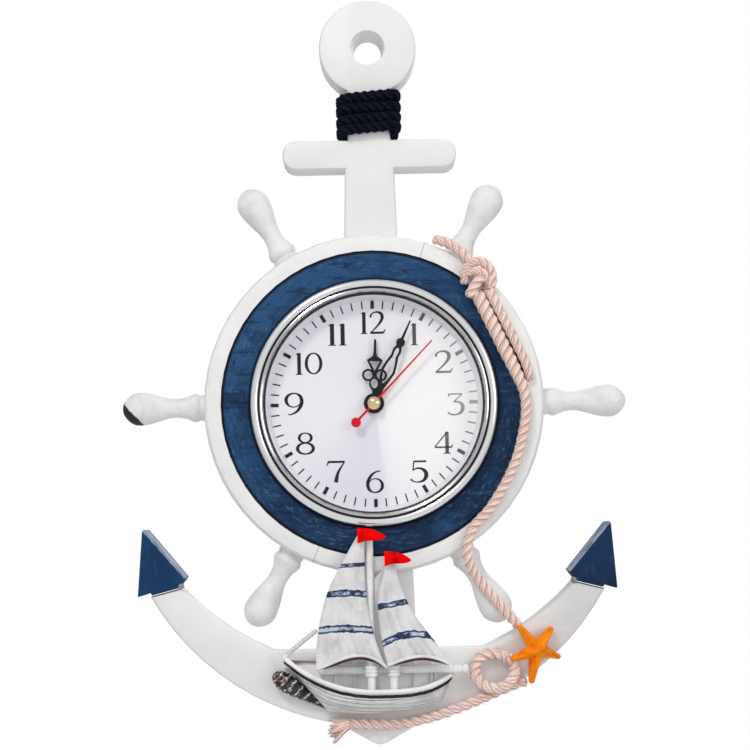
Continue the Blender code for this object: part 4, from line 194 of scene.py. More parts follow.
# name, place, size, power and colour of each lamp
LAMPS = (("key", (-0.55, -1.10, 0.95), 0.35, 8.0, (1.0, 0.99, 0.97)),
         ("side", (0.95, -0.80, 0.10), 0.6, 2.5, (1.0, 1.0, 1.0)),
         ("back", (0.30, 0.90, 0.40), 0.9, 4.0, (1.0, 1.0, 1.0)))
SKY_LEVELS = ((0.05, 0.47), (0.46, 0.60), (0.64, 0.78), (0.96, 1.0))
SKY_TINT = (0.985, 0.99, 1.0)
SKY_STRENGTH = 0.72
FLOOR_DROP = 0.75
FLOOR_REACH = 1.6


def make_camera():
    data = bpy.data.cameras.new("camera")
    data.sensor_width = 36.0
    data.lens = CAMERA_LENS
    data.shift_y = CAMERA_SHIFT
    data.clip_start = 0.01
    data.clip_end = 20.0
    camera = to_scene("camera", data)
    ahead = Vector((0.0, math.cos(CAMERA_TILT), math.sin(CAMERA_TILT)))
    level = Vector((1.0, 0.0, 0.0))
    upward = level.cross(ahead)
    right = level * math.cos(CAMERA_ROLL) - upward * math.sin(CAMERA_ROLL)
    up = level * math.sin(CAMERA_ROLL) + upward * math.cos(CAMERA_ROLL)
    turn = Matrix((right, up, -ahead)).transposed().to_4x4()
    camera.matrix_world = Matrix.Translation(at(*CAMERA_PLACE)) @ turn
    bpy.context.scene.camera = camera


def make_light():
    world = bpy.data.worlds.new("studio")
    bpy.context.scene.world = world
    world.use_nodes = True
    sky = Tree(world.node_tree)
    # bright in front of the clock and above it, dim beside and behind it
    _, y, z = sky.split(sky.add('ShaderNodeTexCoord').outputs['Generated'])
    facing = sky.scaled(z, 0.10, sky.scaled(y, -0.5, 0.5))
    tone = sky.ramp(facing, tuple((place, tuple(level * c for c in SKY_TINT)) for place, level in SKY_LEVELS))
    lit = sky.add('ShaderNodeBackground', {'Color': tone, 'Strength': SKY_STRENGTH})
    seen = sky.add('ShaderNodeBackground', {'Color': (1.0, 1.0, 1.0), 'Strength': 1.0})
    path = sky.add('ShaderNodeLightPath')
    choose = sky.add('ShaderNodeMixShader', {
        0: path.outputs['Is Camera Ray'], 1: lit.outputs[0], 2: seen.outputs[0]})
    sky.add('ShaderNodeOutputWorld', {'Surface': choose.outputs[0]})
    for name, place, size, power, colour in LAMPS:
        data = bpy.data.lights.new(name, 'AREA')
        data.shape = 'DISK'
        data.size = size
        data.energy = power
        data.color = colour
        aim = (at(*LIT_PLACE) - Vector(place)).to_track_quat('-Z', 'Y').to_matrix().to_4x4()
        to_scene(name, data).matrix_world = Matrix.Translation(place) @ aim
    view = bpy.context.scene.view_settings
    view.view_transform = 'Standard'
    view.look = 'None'


def make_floor():
    mesh = bpy.data.meshes.new("floor")
    corners = [(x * FLOOR_REACH, y * FLOOR_REACH, -FLOOR_DROP)
               for x, y in ((-1, -1), (1, -1), (1, 1), (-1, 1))]
    mesh.from_pydata(corners, [], [(0, 1, 2, 3)])
    look = Finish("floor_paper", (0.86, 0.86, 0.86), 0.9)
    look.bump(look.noise(220.0, 3.0), 0.05, 0.001)
    mesh.materials.append(look.material)
    to_scene("floor", mesh)


# Finishes

SMOOTH_ANGLE = math.radians(32.0)
MERGE_REACH = 0.000002
# directions of the open joints in the rim
RIM_JOINTS = (-112.0, 71.4)
# where the painted shadow lines at the navy ring's edges begin, as radii
RING_RIM_SHADOW = 68.2
RING_BEZEL_SHADOW = 56.8
# the way to the painted highlight on a fluke's bevel, and where it starts
FLUKE_HIGHLIGHT_WAY = (-0.757, 0.653)
FLUKE_HIGHLIGHT_EDGE = -118.4


def times_colour(colour, share, more=0.0):
    """A colour made darker or lighter."""
    return tuple(min(1.0, c * share + more) for c in colour)


def painted(name, colour, roughness, grain=None):
    """Brushed paint: soft mottling, fine tooth, and a stretched grain where one is named."""
    look = Finish(name, colour, roughness)
    cloud = look.noise(38.0, 3.0, 0.55)
    look.base = look.ramp(cloud, ((0.30, times_colour(colour, 0.97)), (0.70, times_colour(colour, 1.03))))
    if grain:
        stretch, strength, tint = grain
        lines = look.grain(stretch, 4.0)
        marks = look.ramp(lines, ((0.46, 1.0), (0.60, 0.0)))
        look.base = look.mix(look.times(marks, strength), look.base, tint)
        look.bump(lines, 0.10, 0.0004)
    look.colour(look.base)
    look.rough(cloud, 0.16, roughness - 0.08)
    look.bump(look.noise(1400.0, 2.0, 0.6), 0.10, 0.0002)
    look.bump(cloud, 0.06, 0.0008)
    return look


def anchor_paint(name):
    """White paint over wood, greyer in streaks toward the lower end of the right arm."""
    look = painted(name, (0.835, 0.835, 0.83), 0.5, ((60.0, 60.0, 14.0), 0.10, (0.70, 0.70, 0.69)))
    x, _, z = look.from_dial()
    # greyer in streaks toward the lower end of the right arm
    reach = look.plus(look.scaled(x, 20.0, -1.20), look.times(look.grain((50.0, 50.0, 160.0)), 0.6))
    low = look.ramp(look.times(z, -10.0), ((0.60, 0.0), (0.80, 1.0)))
    grey = look.times(look.ramp(reach, ((0.35, 0.0), (0.85, 0.42))), low)
    look.colour(look.mix(grey, look.base, (0.42, 0.42, 0.43)))
    return look.material


def moulded(name, colour, roughness=0.45, specular=0.5):
    """Moulded plastic with a fine spark-eroded grain and a few rubbed spots."""
    look = Finish(name, colour, roughness, 0.0, specular)
    rub = look.noise(60.0, 3.0, 0.6)
    look.colour(look.cover(colour, rub, ((0.50, 0.0), (0.75, 0.6)), times_colour(colour, 1.25, 0.01)))
    look.rough(rub, 0.20, roughness - 0.10)
    look.bump(look.noise(2600.0), 0.18, 0.00012)
    return look.material


def metal(name, colour, roughness=0.25, brushing=(20.0, 20.0, 900.0)):
    """Metal with fine directional scratches and slight staining."""
    look = Finish(name, colour, roughness, 1.0)
    lines = look.grain(brushing)
    stain = look.noise(90.0, 3.0)
    look.colour(look.cover(colour, stain, ((0.45, 0.0), (0.70, 0.5)), times_colour(colour, 0.82)))
    look.rough(lines, 0.22, roughness - 0.09)
    look.bump(lines, 0.05, 0.0001)
    return look.material


def copper_wire(name):
    """A wound coil: rows of enamelled wire, with painted shade in the grooves between turns."""
    look = Finish(name, (0.55, 0.22, 0.07), 0.28, 0.85)
    turns = look.add('ShaderNodeTexWave', {
        'Vector': look.place.outputs['Object'], 'Scale': 1500.0, 'Distortion': 0.6,
        'Detail': 0.0}).outputs['Fac']
    # painted shade in the grooves between the turns
    look.colour(look.ramp(turns, ((0.0, (0.20, 0.06, 0.02)), (0.6, (0.62, 0.27, 0.09)))))
    look.bump(turns, 0.5, 0.0002)
    return look.material


def polar(look):
    """A point about the dial's axis: metres across and up, and radius."""
    x, _, z = look.from_dial()
    return x, z, look.math('SQRT', look.plus(look.times(x, x), look.times(z, z)))


def unit_polar(look):
    """Unit direction across and up from the dial's axis, and radius."""
    x, z, radius = polar(look)
    return look.math('DIVIDE', x, radius), look.math('DIVIDE', z, radius), radius


def ring_noise(look, round_scale, across_scale, detail):
    """Noise drawn out along circles about the dial's axis."""
    across, up, radius = unit_polar(look)
    return look.noise(1.0, detail, 0.6, look.join(
        look.times(across, round_scale), look.times(up, round_scale), look.times(radius, across_scale)))


def navy_ring_paint(name):
    """Dark blue paint over the wooden ring: brush marks and pale scratches follow the circle; painted light
    lifts the upper left, and painted shadow lines darken both edges.
    """
    look = Finish(name, (0.010, 0.045, 0.125), 0.62, 0.0, 0.16)
    across, up, radius = unit_polar(look)
    lines = ring_noise(look, 15.0, 1300.0, 5.0)
    fine = ring_noise(look, 34.0, 2600.0, 3.0)
    worn = look.noise(60.0, 3.0, 0.6)
    # painted light: lighter toward the upper left, darker toward the lower right
    painted_upper_left_light = look.scaled(look.math('SUBTRACT', up, across), 0.35, 0.5)
    base = look.ramp(painted_upper_left_light, ((0.05, (0.0065, 0.029, 0.080)), (0.50, (0.0095, 0.045, 0.125)),
                             (0.95, (0.021, 0.080, 0.200))))
    patch = look.noise(75.0, 4.0, 0.65)
    board = look.grain((38.0, 38.0, 300.0), 4.0, 0.62)
    for where, stops, colour in (
            (patch, ((0.36, 0.60), (0.50, 0.0)), (0.0045, 0.019, 0.052)),
            (patch, ((0.55, 0.0), (0.70, 0.50)), (0.020, 0.086, 0.19)),
            (board, ((0.36, 0.70), (0.45, 0.0)), (0.004, 0.016, 0.046)),
            (board, ((0.57, 0.0), (0.66, 0.45)), (0.045, 0.115, 0.225)),
            (lines, ((0.30, 0.75), (0.46, 0.0)), (0.003, 0.013, 0.038))):
        base = look.cover(base, where, stops, colour)
    for where, stops, worn_stops, colour in (
            (lines, ((0.57, 0.0), (0.66, 0.8)), ((0.42, 0.15), (0.60, 1.0)), (0.075, 0.155, 0.29)),
            (fine, ((0.66, 0.0), (0.71, 1.0)), ((0.48, 0.0), (0.62, 1.0)), (0.26, 0.36, 0.50))):
        base = look.mix(look.times(look.ramp(where, stops), look.ramp(worn, worn_stops)), base, colour)
    # painted shadow lines along the outer edge by the rim and the inner edge by the bezel
    far = look.times(radius, 1000.0)
    rim = look.ramp(look.plus(far, -RING_RIM_SHADOW), ((0.0, 1.0), (0.45, 0.40), (0.95, 0.06)))
    foot = look.ramp(look.plus(far, -RING_BEZEL_SHADOW), ((0.15, 0.05), (0.55, 0.40), (1.0, 1.0)))
    look.colour(look.shaded(base, look.shaded(rim, foot)))
    look.rough(lines, 0.25, 0.5)
    look.bump(lines, 0.45, 0.0006)
    look.bump(look.noise(1500.0), 0.08, 0.0002)
    return look.material


def rim_paint(name):
    """White paint over joined planks bent into a rim, with faint grain and two open joints."""
    look = Finish(name, (0.84, 0.84, 0.83), 0.5, 0.0, 0.35)
    across, up, _ = unit_polar(look)
    grain = ring_noise(look, 9.0, 900.0, 4.0)
    base = look.ramp(look.noise(40.0, 3.0), ((0.30, (0.82, 0.82, 0.81)), (0.65, (0.88, 0.88, 0.875))))
    base = look.cover(base, grain, ((0.30, 0.45), (0.44, 0.0)), (0.66, 0.66, 0.66))
    for turn in RIM_JOINTS:
        way = (math.cos(math.radians(turn)), math.sin(math.radians(turn)))
        beside = look.math('SUBTRACT', look.times(across, way[1]), look.times(up, way[0]))
        near = look.times(look.math('ABSOLUTE', beside), 260.0)
        ahead = look.plus(look.times(across, way[0]), look.times(up, way[1]))
        line = look.times(look.ramp(near, ((0.25, 0.8), (1.0, 0.0))), look.math('GREATER_THAN', ahead, 0.0))
        base = look.mix(line, base, (0.30, 0.30, 0.31))
    look.colour(base)
    look.rough(grain, 0.2, 0.38)
    look.bump(grain, 0.30, 0.0005)
    look.bump(look.noise(1300.0), 0.10, 0.0002)
    return look.material


def navy_fluke_paint(name, stretch, base, worn):
    """Dark blue paint over wood, with pale scratches that follow the grain; painted light lifts the left
    fluke and the bevel.
    """
    look = Finish(name, base, 0.62, 0.0, 0.16)
    lines = look.grain(stretch, 5.0, 0.62)
    fine = look.noise(1.0, 3.0, 0.6, look.coords(tuple(s * 2.3 for s in stretch), (3.0, 7.0, 1.0)))
    cloud = look.noise(26.0, 3.0)
    colour = look.ramp(cloud, ((0.30, times_colour(base, 0.62)), (0.68, times_colour(base, 1.15))))
    x, y, z = look.from_dial()
    # painted light: the left fluke lighter and bluer than the right one
    painted_left_light = look.ramp(look.scaled(x, 10.0, 0.5), ((0.2, (0.72, 0.92, 1.0)), (0.8, (0.40, 0.48, 0.56))))
    colour = look.cover(look.shaded(colour, painted_left_light), lines, ((0.56, 0.0), (0.74, 0.40)), worn)
    colour = look.cover(colour, fine, ((0.62, 0.0), (0.76, 0.30)), times_colour(worn, 1.3))
    # a painted highlight on the bevel along the edge that faces the handles, with painted shade toward the
    # back
    side = look.times(look.math('ABSOLUTE', x), FLUKE_HIGHLIGHT_WAY[0] / MM)
    past = look.plus(look.scaled(z, FLUKE_HIGHLIGHT_WAY[1] / MM, side), -FLUKE_HIGHLIGHT_EDGE)
    painted_light_band = look.plus(past, look.scaled(look.noise(300.0), 0.7, -0.35))
    highlight_colour = look.ramp(lines, ((0.40, (0.16, 0.20, 0.30)), (0.60, (0.36, 0.42, 0.54))))
    deep = look.ramp(look.times(y, -100.0), ((0.15, 0.10), (0.45, 1.0)))
    look.colour(look.cover(colour, painted_light_band, ((0.0, 0.0), (0.25, 1.0)), look.shaded(highlight_colour, deep)))
    look.rough(lines, 0.25, 0.42)
    look.bump(lines, 0.25, 0.0005)
    look.bump(look.noise(1500.0), 0.08, 0.0002)
    return look.material


def resin_paint(name, base, dark):
    """Cast resin under brushed paint: soft hollows hold a little grey."""
    look = Finish(name, base, 0.5, 0.0, 0.3)
    cloud = look.noise(120.0, 4.0, 0.6)
    tooth = look.noise(900.0, 3.0, 0.6)
    brushed = look.ramp(cloud, ((0.32, dark), (0.55, base)))
    look.base = look.cover(brushed, tooth, ((0.36, 0.35), (0.50, 0.0)), dark)
    look.colour(look.base)
    look.rough(cloud, 0.2, 0.38)
    look.bump(tooth, 0.25, 0.0002)
    look.bump(cloud, 0.20, 0.0006)
    return look


def yarn(name, colour, deep, pale, roughness=0.85, sheen=0.35, specular=0.2):
    """Spun cotton: fine yarns laid along each strand, with painted shade between the yarns and a painted
    highlight on their crests.
    """
    look = Finish(name, colour, roughness)
    u, v = look.uv()
    stray = look.times(look.noise(420.0), 0.10)
    lay = look.plus(look.times(u, 1.35), look.plus(v, stray))
    height = look.scaled(look.math('SINE', look.times(lay, TAU * 6)), 0.5, 0.5)
    fuzz = look.noise(900.0, 3.0, 0.7)
    # painted shade in the troughs between yarns and a painted highlight on their crests
    base = look.ramp(height, ((0.02, deep), (0.30, colour), (1.0, pale)))
    base = look.cover(base, look.noise(130.0, 3.0, 0.55), ((0.40, 0.0), (0.75, 0.55)), pale)
    base = look.cover(base, fuzz, ((0.30, 0.25), (0.46, 0.0)), deep)
    base = look.cover(base, fuzz, ((0.54, 0.0), (0.72, 0.65)), pale)
    # painted shade where one strand turns in against the next
    fold = look.ramp(look.off(v, 0.5), ((0.15, (0.62, 0.45, 0.40)), (0.24, (1.0, 1.0, 1.0))))
    look.colour(look.shaded(base, fold))
    look.bump(height, 0.55, 0.00022)
    look.bump(fuzz, 0.45, 0.00018)
    look.set('Sheen Weight', sheen)
    look.set('Sheen Roughness', 0.5)
    look.set('Specular IOR Level', specular)
    return look.material


# Modifiers

def node_group(name):
    """An empty group that takes and gives geometry: its tree, and the geometry that comes in."""
    group = bpy.data.node_groups.new(name, 'GeometryNodeTree')
    for way in ('INPUT', 'OUTPUT'):
        group.interface.new_socket("Geometry", in_out=way, socket_type='NodeSocketGeometry')
    tree = Tree(group)
    return tree, tree.add('NodeGroupInput').outputs[0]


def soft_group(name, angle):
    """Joins split corners and shades smoothly across edges under the angle."""
    tree, start = node_group(name)
    merged = tree.add('GeometryNodeMergeByDistance', {'Geometry': start, 'Distance': MERGE_REACH}).outputs[0]
    faces = tree.add('GeometryNodeSetShadeSmooth', {'Geometry': merged}, domain='FACE').outputs[0]
    bend = tree.add('GeometryNodeInputMeshEdgeAngle').outputs['Unsigned Angle']
    sharp = tree.add('FunctionNodeCompare', {'A': bend, 'B': angle}, operation='GREATER_THAN').outputs[0]
    edges = tree.add('GeometryNodeSetShadeSmooth', {
        'Geometry': faces, 'Selection': sharp, 'Shade Smooth': False}, domain='EDGE').outputs[0]
    tree.add('NodeGroupOutput', {0: edges})
    return tree.tree


def fuller_group(name, grow):
    """Widens a flat form by so many millimetres each way in the clock's plane."""
    tree, start = node_group(name)
    way = tree.add('GeometryNodeInputNormal').outputs[0]
    for operation, inputs in (
            ('MULTIPLY', {1: (1.0, 0.0, 1.0)}), ('NORMALIZE', {}), ('SCALE', {'Scale': grow * MM})):
        way = tree.add('ShaderNodeVectorMath', {0: way, **inputs}, operation=operation).outputs[0]
    moved = tree.add('GeometryNodeSetPosition', {'Geometry': start, 'Offset': way}).outputs[0]
    tree.add('NodeGroupOutput', {0: moved})
    return tree.tree


SOFT = soft_group("soft_edges", SMOOTH_ANGLE)


def group_modifier(obj, group):
    """Lays a group's change over an object as a modifier."""
    obj.modifiers.new(group.name, 'NODES').node_group = group


def node_finish(node, material):
    """Gives one solid of the frame its finish."""
    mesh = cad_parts[node].data
    mesh.materials.clear()
    mesh.materials.append(material)


# Pieces

def add_piece(name, form, material, node=None, smooth=True, soft=False):
    """Puts a piece on the frame: points in millimetres, faces and, in some, texture places."""
    points, faces, *uvs = form
    mesh = bpy.data.meshes.new(name)
    mesh.from_pydata([at(*point) for point in points], [], faces)
    mesh.validate()
    built = bmesh.new()
    built.from_mesh(mesh)
    bmesh.ops.recalc_face_normals(built, faces=built.faces)
    built.to_mesh(mesh)
    built.free()
    if uvs:
        layer = mesh.uv_layers.new(name="UVMap")
        for loop in mesh.loops:
            layer.data[loop.index].uv = uvs[0][loop.vertex_index]
    mesh.materials.append(material)
    if smooth:
        mesh.shade_smooth()
    piece = to_scene(name, mesh)
    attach(piece, "frame")
    if node:
        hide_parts(node)
    if soft:
        group_modifier(piece, SOFT)


def angles(count):
    """Directions that share out a full turn."""
    return [TAU * i / count for i in range(count)]


def quads(rows, count, ring=True, closed=False, base=0):
    """Faces between rows of points; a ring's row closes on itself, and closed rows end at the first."""
    faces = []
    for i in range(rows if closed else rows - 1):
        a, b = base + i * count, base + (i + 1) % rows * count
        for j in range(count if ring else count - 1):
            k = (j + 1) % count
            faces.append((a + j, a + k, b + k, b + j))
    return faces


def end_caps(rows, count):
    """Faces over the first and the last ring."""
    return [tuple(range(count)), tuple((rows - 1) * count + j for j in range(count))]


def turned(profile, steps, centre=(0.0, 0.0)):
    """A closed profile (radius, depth) turned about the dial's axis direction."""
    points = []
    for angle in angles(steps):
        for r, depth in profile:
            points.append((centre[0] + r * math.cos(angle), centre[1] + r * math.sin(angle), depth))
    return points, quads(steps, len(profile), closed=True)


def curve_point(a, b, c, d, t):
    """Point on a smooth curve between b and c."""
    return 0.5 * (2 * b + (c - a) * t + (2 * a - 5 * b + 4 * c - d) * t ** 2
                  + (3 * b - a - 3 * c + d) * t ** 3)


def row_at(rows, share):
    """Smooth values at a share of the way down a table."""
    place = share * (len(rows) - 1)
    i = min(int(place), len(rows) - 2)
    near = [rows[max(0, i - 1)], rows[i], rows[i + 1], rows[min(len(rows) - 1, i + 2)]]
    return tuple(curve_point(*values, place - i) for values in zip(*near))


# Ropes

STRANDS = 3
STRAND_SIDES = 8
RINGS_PER_TURN = 16
ROPE_R = 2.5
ROPE_PITCH = 12.0
# how much thicker the strands are than three round ones that just touch
STRAND_FIT = 1.03
# length over which a strand narrows at its ends, and how far its tip stands out
END_LENGTH = 1.2
TIP_SHARE = 0.45
UV_PER_MM = 0.1
ROUTE_STEPS = 24
FIBRE_R = 0.055
FRAY_YARNS = 46
FRAY_RADII = (0.95, 0.88, 0.72, 0.60, 0.34)
FRAY_LOWEST = 15.6


def lengths(points):
    """Length of the line up to each point."""
    run = [0.0]
    for a, b in zip(points, points[1:]):
        run.append(run[-1] + (b - a).length)
    return run


def route_points(route, step):
    """Points a step apart on a smooth curve through the route's own points."""
    knots = [Vector(point) for point in route]
    knots = [2 * knots[0] - knots[1]] + knots + [2 * knots[-1] - knots[-2]]
    fine = []
    for near in zip(knots, knots[1:], knots[2:], knots[3:]):
        fine += [curve_point(*near, i / ROUTE_STEPS) for i in range(ROUTE_STEPS)]
    fine.append(knots[-2])
    run = lengths(fine)
    count = max(3, round(run[-1] / step) + 1)
    points, seen = [], 0
    for i in range(count):
        target = run[-1] * i / (count - 1)
        while seen < len(fine) - 2 and run[seen + 1] < target:
            seen += 1
        share = (target - run[seen]) / max(run[seen + 1] - run[seen], 1e-9)
        points.append(fine[seen].lerp(fine[seen + 1], min(1.0, share)))
    return points


def frames_along(points):
    """Tangent and a turning-free side direction at each point, and the run of length."""
    around = points[:1] + points + points[-1:]
    tangents = [(after - before).normalized() for before, after in zip(around, around[2:])]
    side = tangents[0].cross(OUT)
    if side.length < 0.1:
        side = tangents[0].cross(UP)
    side.normalize()
    sides = [side]
    for a, b in zip(tangents, tangents[1:]):
        side = a.rotation_difference(b) @ sides[-1]
        sides.append((side - b * side.dot(b)).normalized())
    return tangents, sides, lengths(points)


def add_tube(form, line, radii, sides=STRAND_SIDES, start_run=0.0, outward=None):
    """A round tube along a line, with a point of its own at each end."""
    points, faces, uvs = form
    tangents, across, run = frames_along(line)
    if outward:
        across = [(out - tangent * out.dot(tangent)).normalized() for out, tangent in zip(outward, tangents)]
    base = len(points)
    count = len(line)
    for i in range(count):
        up = tangents[i].cross(across[i])
        for k, angle in enumerate(angles(sides)):
            offset = across[i] * math.cos(angle) + up * math.sin(angle)
            points.append(tuple(line[i] + offset * radii[i]))
            uvs.append(((start_run + run[i]) * UV_PER_MM, k / sides))
    faces += quads(count, sides, base=base)
    for ring, sign in ((0, -1), (count - 1, 1)):
        cap = len(points)
        points.append(tuple(line[ring] + tangents[ring] * sign * radii[ring] * TIP_SHARE))
        uvs.append(((start_run + run[ring]) * UV_PER_MM, 0.5))
        low = base + ring * sides
        faces += [(low + k, low + (k + 1) % sides, cap) for k in range(sides)]


def rope_parts(route, radius=ROPE_R, pitch=ROPE_PITCH, taper=(1.0, 1.0), phase=0.0, rings=RINGS_PER_TURN,
               sides=STRAND_SIDES, swell=None):
    """The strands of a laid rope."""
    line = route_points(route, pitch / rings)
    tangents, across, run = frames_along(line)
    strand_r = radius / (1 + 2 / math.sqrt(3)) * STRAND_FIT
    reach = radius - strand_r
    form = [], [], []
    length = run[-1]
    for strand in range(STRANDS):
        path, radii, outward = [], [], []
        for i, place in enumerate(line):
            angle = TAU * run[i] / pitch + TAU * strand / STRANDS + phase
            up = tangents[i].cross(across[i])
            size = taper[0] + (taper[1] - taper[0]) * (run[i] / length)
            end = min(1.0, (run[i] + 0.35) / END_LENGTH, (length - run[i] + 0.35) / END_LENGTH)
            size *= math.sqrt(max(end, 0.05))
            if swell:
                size *= swell(run[i])
            loose = (1.0 + 0.035 * math.sin(run[i] * 0.9 + strand * 2.1)
                     + 0.02 * math.sin(run[i] * 2.3 + strand))
            outward.append(across[i] * math.cos(angle) + up * math.sin(angle))
            path.append(place + outward[-1] * reach * size * loose)
            radii.append(strand_r * size * (2 - loose))
        add_tube(form, path, radii, sides, strand * 37.0, outward)
    return form


def pseudo(seed, count):
    """Repeatable numbers between 0 and 1."""
    values = []
    state = (seed * 2654435761 + 12345) % 4294967296
    for _ in range(count):
        state = (state * 1664525 + 1013904223) % 4294967296
        values.append(((state >> 8) & 0xFFFF) / 65535.0)
    return values


def add_spike(form, line):
    """A slim tapered spike of three sides through three points."""
    points, faces, uvs = form
    axis = (line[-1] - line[0]).normalized()
    side = axis.cross(Vector((0.31, 0.52, 0.79))).normalized()
    up = axis.cross(side)
    base = len(points)
    for i, place in enumerate(line[:-1]):
        size = FIBRE_R * (1.0 - 0.35 * i)
        for k, angle in enumerate(angles(3)):
            points.append(tuple(place + (side * math.cos(angle) + up * math.sin(angle)) * size))
            uvs.append((0.0, k / 3))
    points.append(tuple(line[-1]))
    uvs.append((0.0, 0.5))
    for k in range(3):
        j = (k + 1) % 3
        faces.append((base + k, base + j, base + 3 + j, base + 3 + k))
        faces.append((base + 3 + k, base + 3 + j, base + 6))
    faces.append((base + 2, base + 1, base))


def fibres(route, radius, count, length, seed):
    """Stray fibres that stand off a rope, as slim three-sided spikes."""
    line = route_points(route, 1.0)
    tangents, across, _ = frames_along(line)
    form = [], [], []
    for n in range(count):
        along, turn, lean, tilt, size = pseudo(seed + n * 7, 5)
        i = min(len(line) - 1, int(along * len(line)))
        up = tangents[i].cross(across[i])
        out = across[i] * math.cos(TAU * turn) + up * math.sin(TAU * turn)
        foot = line[i] + out * radius * 0.86
        way = tangents[i] * (lean - 0.5) * 2.2 + across[i] * (tilt - 0.5)
        reach = length * (0.4 + 0.9 * size)
        tip = foot + (out * 0.75 + way).normalized() * reach
        tip.z = max(tip.z, 0.1)
        add_spike(form, (foot, foot.lerp(tip, 0.5) + out * reach * 0.16, tip))
    return form


def joined(parts):
    """Several forms as one."""
    points, faces, uvs = [], [], []
    for some_points, some_faces, some_uvs in parts:
        base = len(points)
        points += some_points
        faces += [tuple(base + i for i in face) for face in some_faces]
        uvs += some_uvs
    return points, faces, uvs


WHEEL_ROPE = ((47.6, 49.2, 26.9), (53.8, 36.2, 26.9), (59.4, 24.2, 26.9), (64.8, 12.6, 26.9),
              (68.4, 3.5, 26.9), (68.9, -6.0, 26.8), (67.5, -14.5, 26.8), (64.3, -26.5, 26.8),
              (59.0, -37.7, 26.8), (51.7, -49.0, 26.8), (44.7, -56.6, 26.8), (41.6, -63.0, 27.0),
              (41.2, -70.5, 25.9), (43.9, -77.9, 23.4), (49.2, -85.6, 22.8), (56.0, -93.5, 23.5),
              (61.2, -99.6, 21.4), (64.5, -103.4, 19.2))
TAIL_ROPE = ((53.2, 50.4, 27.0), (59.6, 37.3, 27.2), (64.9, 26.2, 27.2), (69.3, 16.4, 26.8),
             (71.6, 9.0, 25.6))
KNOT_END = ((28.6, 74.6, 24.2), (34.5, 72.8, 24.6), (39.8, 69.2, 25.4), (44.0, 64.8, 26.8),
            (46.6, 60.5, 27.6))
KNOT_TURN = ((42.6, 53.6, 25.2), (42.4, 58.2, 27.0), (45.0, 62.2, 28.6), (49.4, 63.2, 29.2),
             (53.2, 60.8, 28.6), (55.0, 56.4, 27.2), (54.2, 52.2, 25.6), (51.0, 50.2, 24.4))
KNOT_BAND = ((42.2, 60.0, 25.2), (44.4, 58.8, 28.0), (48.6, 58.8, 29.4), (52.0, 56.6, 28.8),
             (53.4, 52.6, 26.6))
KNOT_BUD = ((52.4, 57.8, 27.8), (49.2, 55.2, 29.2), (46.2, 51.4, 29.2), (44.2, 47.2, 28.2))
HULL_ROPE = ((-15.0, -145.9, 17.9), (-11.0, -145.9, 17.9), (-1.9, -146.4, 17.9), (10.4, -146.1, 17.9),
             (22.6, -143.7, 17.9), (34.9, -140.0, 17.9), (47.2, -135.2, 17.9), (59.6, -130.2, 17.9),
             (67.0, -127.6, 17.9))
LOOP = ((60.0, -119.6, 17.9), (57.4, -116.6, 17.9), (53.4, -115.2, 17.9), (49.4, -115.5, 17.9),
        (45.8, -117.5, 17.9), (43.9, -120.9, 18.2), (44.0, -124.8, 19.2), (46.2, -128.2, 21.2),
        (49.8, -130.2, 22.9), (54.0, -130.5, 23.2), (58.4, -128.6, 23.0), (61.2, -125.4, 21.6),
        (61.9, -122.0, 20.6), (61.0, -118.8, 20.6), (58.6, -116.6, 21.0))


def fuller_start(run):
    """The wheel rope is fuller near its knot."""
    return 1.0 + 0.34 / (1.0 + math.exp((run - 42.0) / 5.0))


def frayed_end():
    """Loose yarns that fan out from the cut end of the rope."""
    form = [], [], []
    root = Vector(HULL_ROPE[0])
    for n in range(FRAY_YARNS):
        a, b, c, d, e = pseudo(900 + n * 13, 5)
        turn = math.radians(186 + 46 * a)
        start = root + Vector((0.8, (b - 0.5) * 4.0, (d - 0.5) * 3.6))
        reach = 7.2 + 3.2 * e
        end = start + Vector((math.cos(turn) * reach, math.sin(turn) * reach * 0.95 + (b - 0.5) * 3.0,
                              (c - 0.5) * 3.2))
        end.z = max(end.z, FRAY_LOWEST)
        bend = start.lerp(end, 0.5) + Vector((0.2, 0.9 * (a - 0.5) + 0.5, 0.5 * (d - 0.5)))
        line = [start, start.lerp(bend, 0.5) + Vector((0.0, 0.15, 0.1)), bend, bend.lerp(end, 0.55), end]
        add_tube(form, line, FRAY_RADII, 7, n * 11.0)
    return form


def build_ropes():
    pink = yarn("pink_rope", (1.0, 0.71, 0.62), (0.82, 0.46, 0.39), (1.0, 0.87, 0.81), specular=0.08)
    for name, node, parts in (
            ("wheel_rope_laid", "wheel_rope", (
                rope_parts(WHEEL_ROPE, swell=fuller_start),
                fibres(WHEEL_ROPE, ROPE_R * 1.15, 520, 1.25, 11))),
            ("wheel_rope_tail_laid", "wheel_rope_tail", (
                rope_parts(TAIL_ROPE, phase=1.0, taper=(1.0, 0.86)),
                fibres(TAIL_ROPE, ROPE_R, 140, 1.2, 500))),
            ("rope_knot_tied", "rope_knot", (
                rope_parts(KNOT_END, 2.45), rope_parts(KNOT_TURN, 2.35, 11.0, phase=0.6),
                rope_parts(KNOT_BAND, 2.1, 11.0, phase=2.0),
                rope_parts(KNOT_BUD, 2.45, 11.0, taper=(0.9, 1.08), phase=1.2),
                fibres(KNOT_END, 2.45, 60, 1.0, 1500), fibres(KNOT_TURN, 2.35, 60, 0.9, 2500))),
            ("hull_rope_laid", "hull_rope", (
                rope_parts(HULL_ROPE, pitch=14.0), frayed_end(), fibres(HULL_ROPE, ROPE_R, 240, 1.2, 3500))),
            ("rope_loop_laid", "rope_loop", (rope_parts(LOOP, 2.7), fibres(LOOP, 2.7, 60, 1.0, 4500)))):
        add_piece(name, joined(parts), pink, node)


# Winding on the neck: heights from the dial's axis
NECK_HALF = 10.0
NECK_DEPTH = 15.0
WALL_ROOM = 0.35
WINDING_R = 2.85
WINDING_TURNS = 4
WINDING_PITCH = 4.75
WINDING_TOP = 144.8
WINDING_SIDES = 6
WINDING_LAY = 11.0
CORNER_R = 3.4


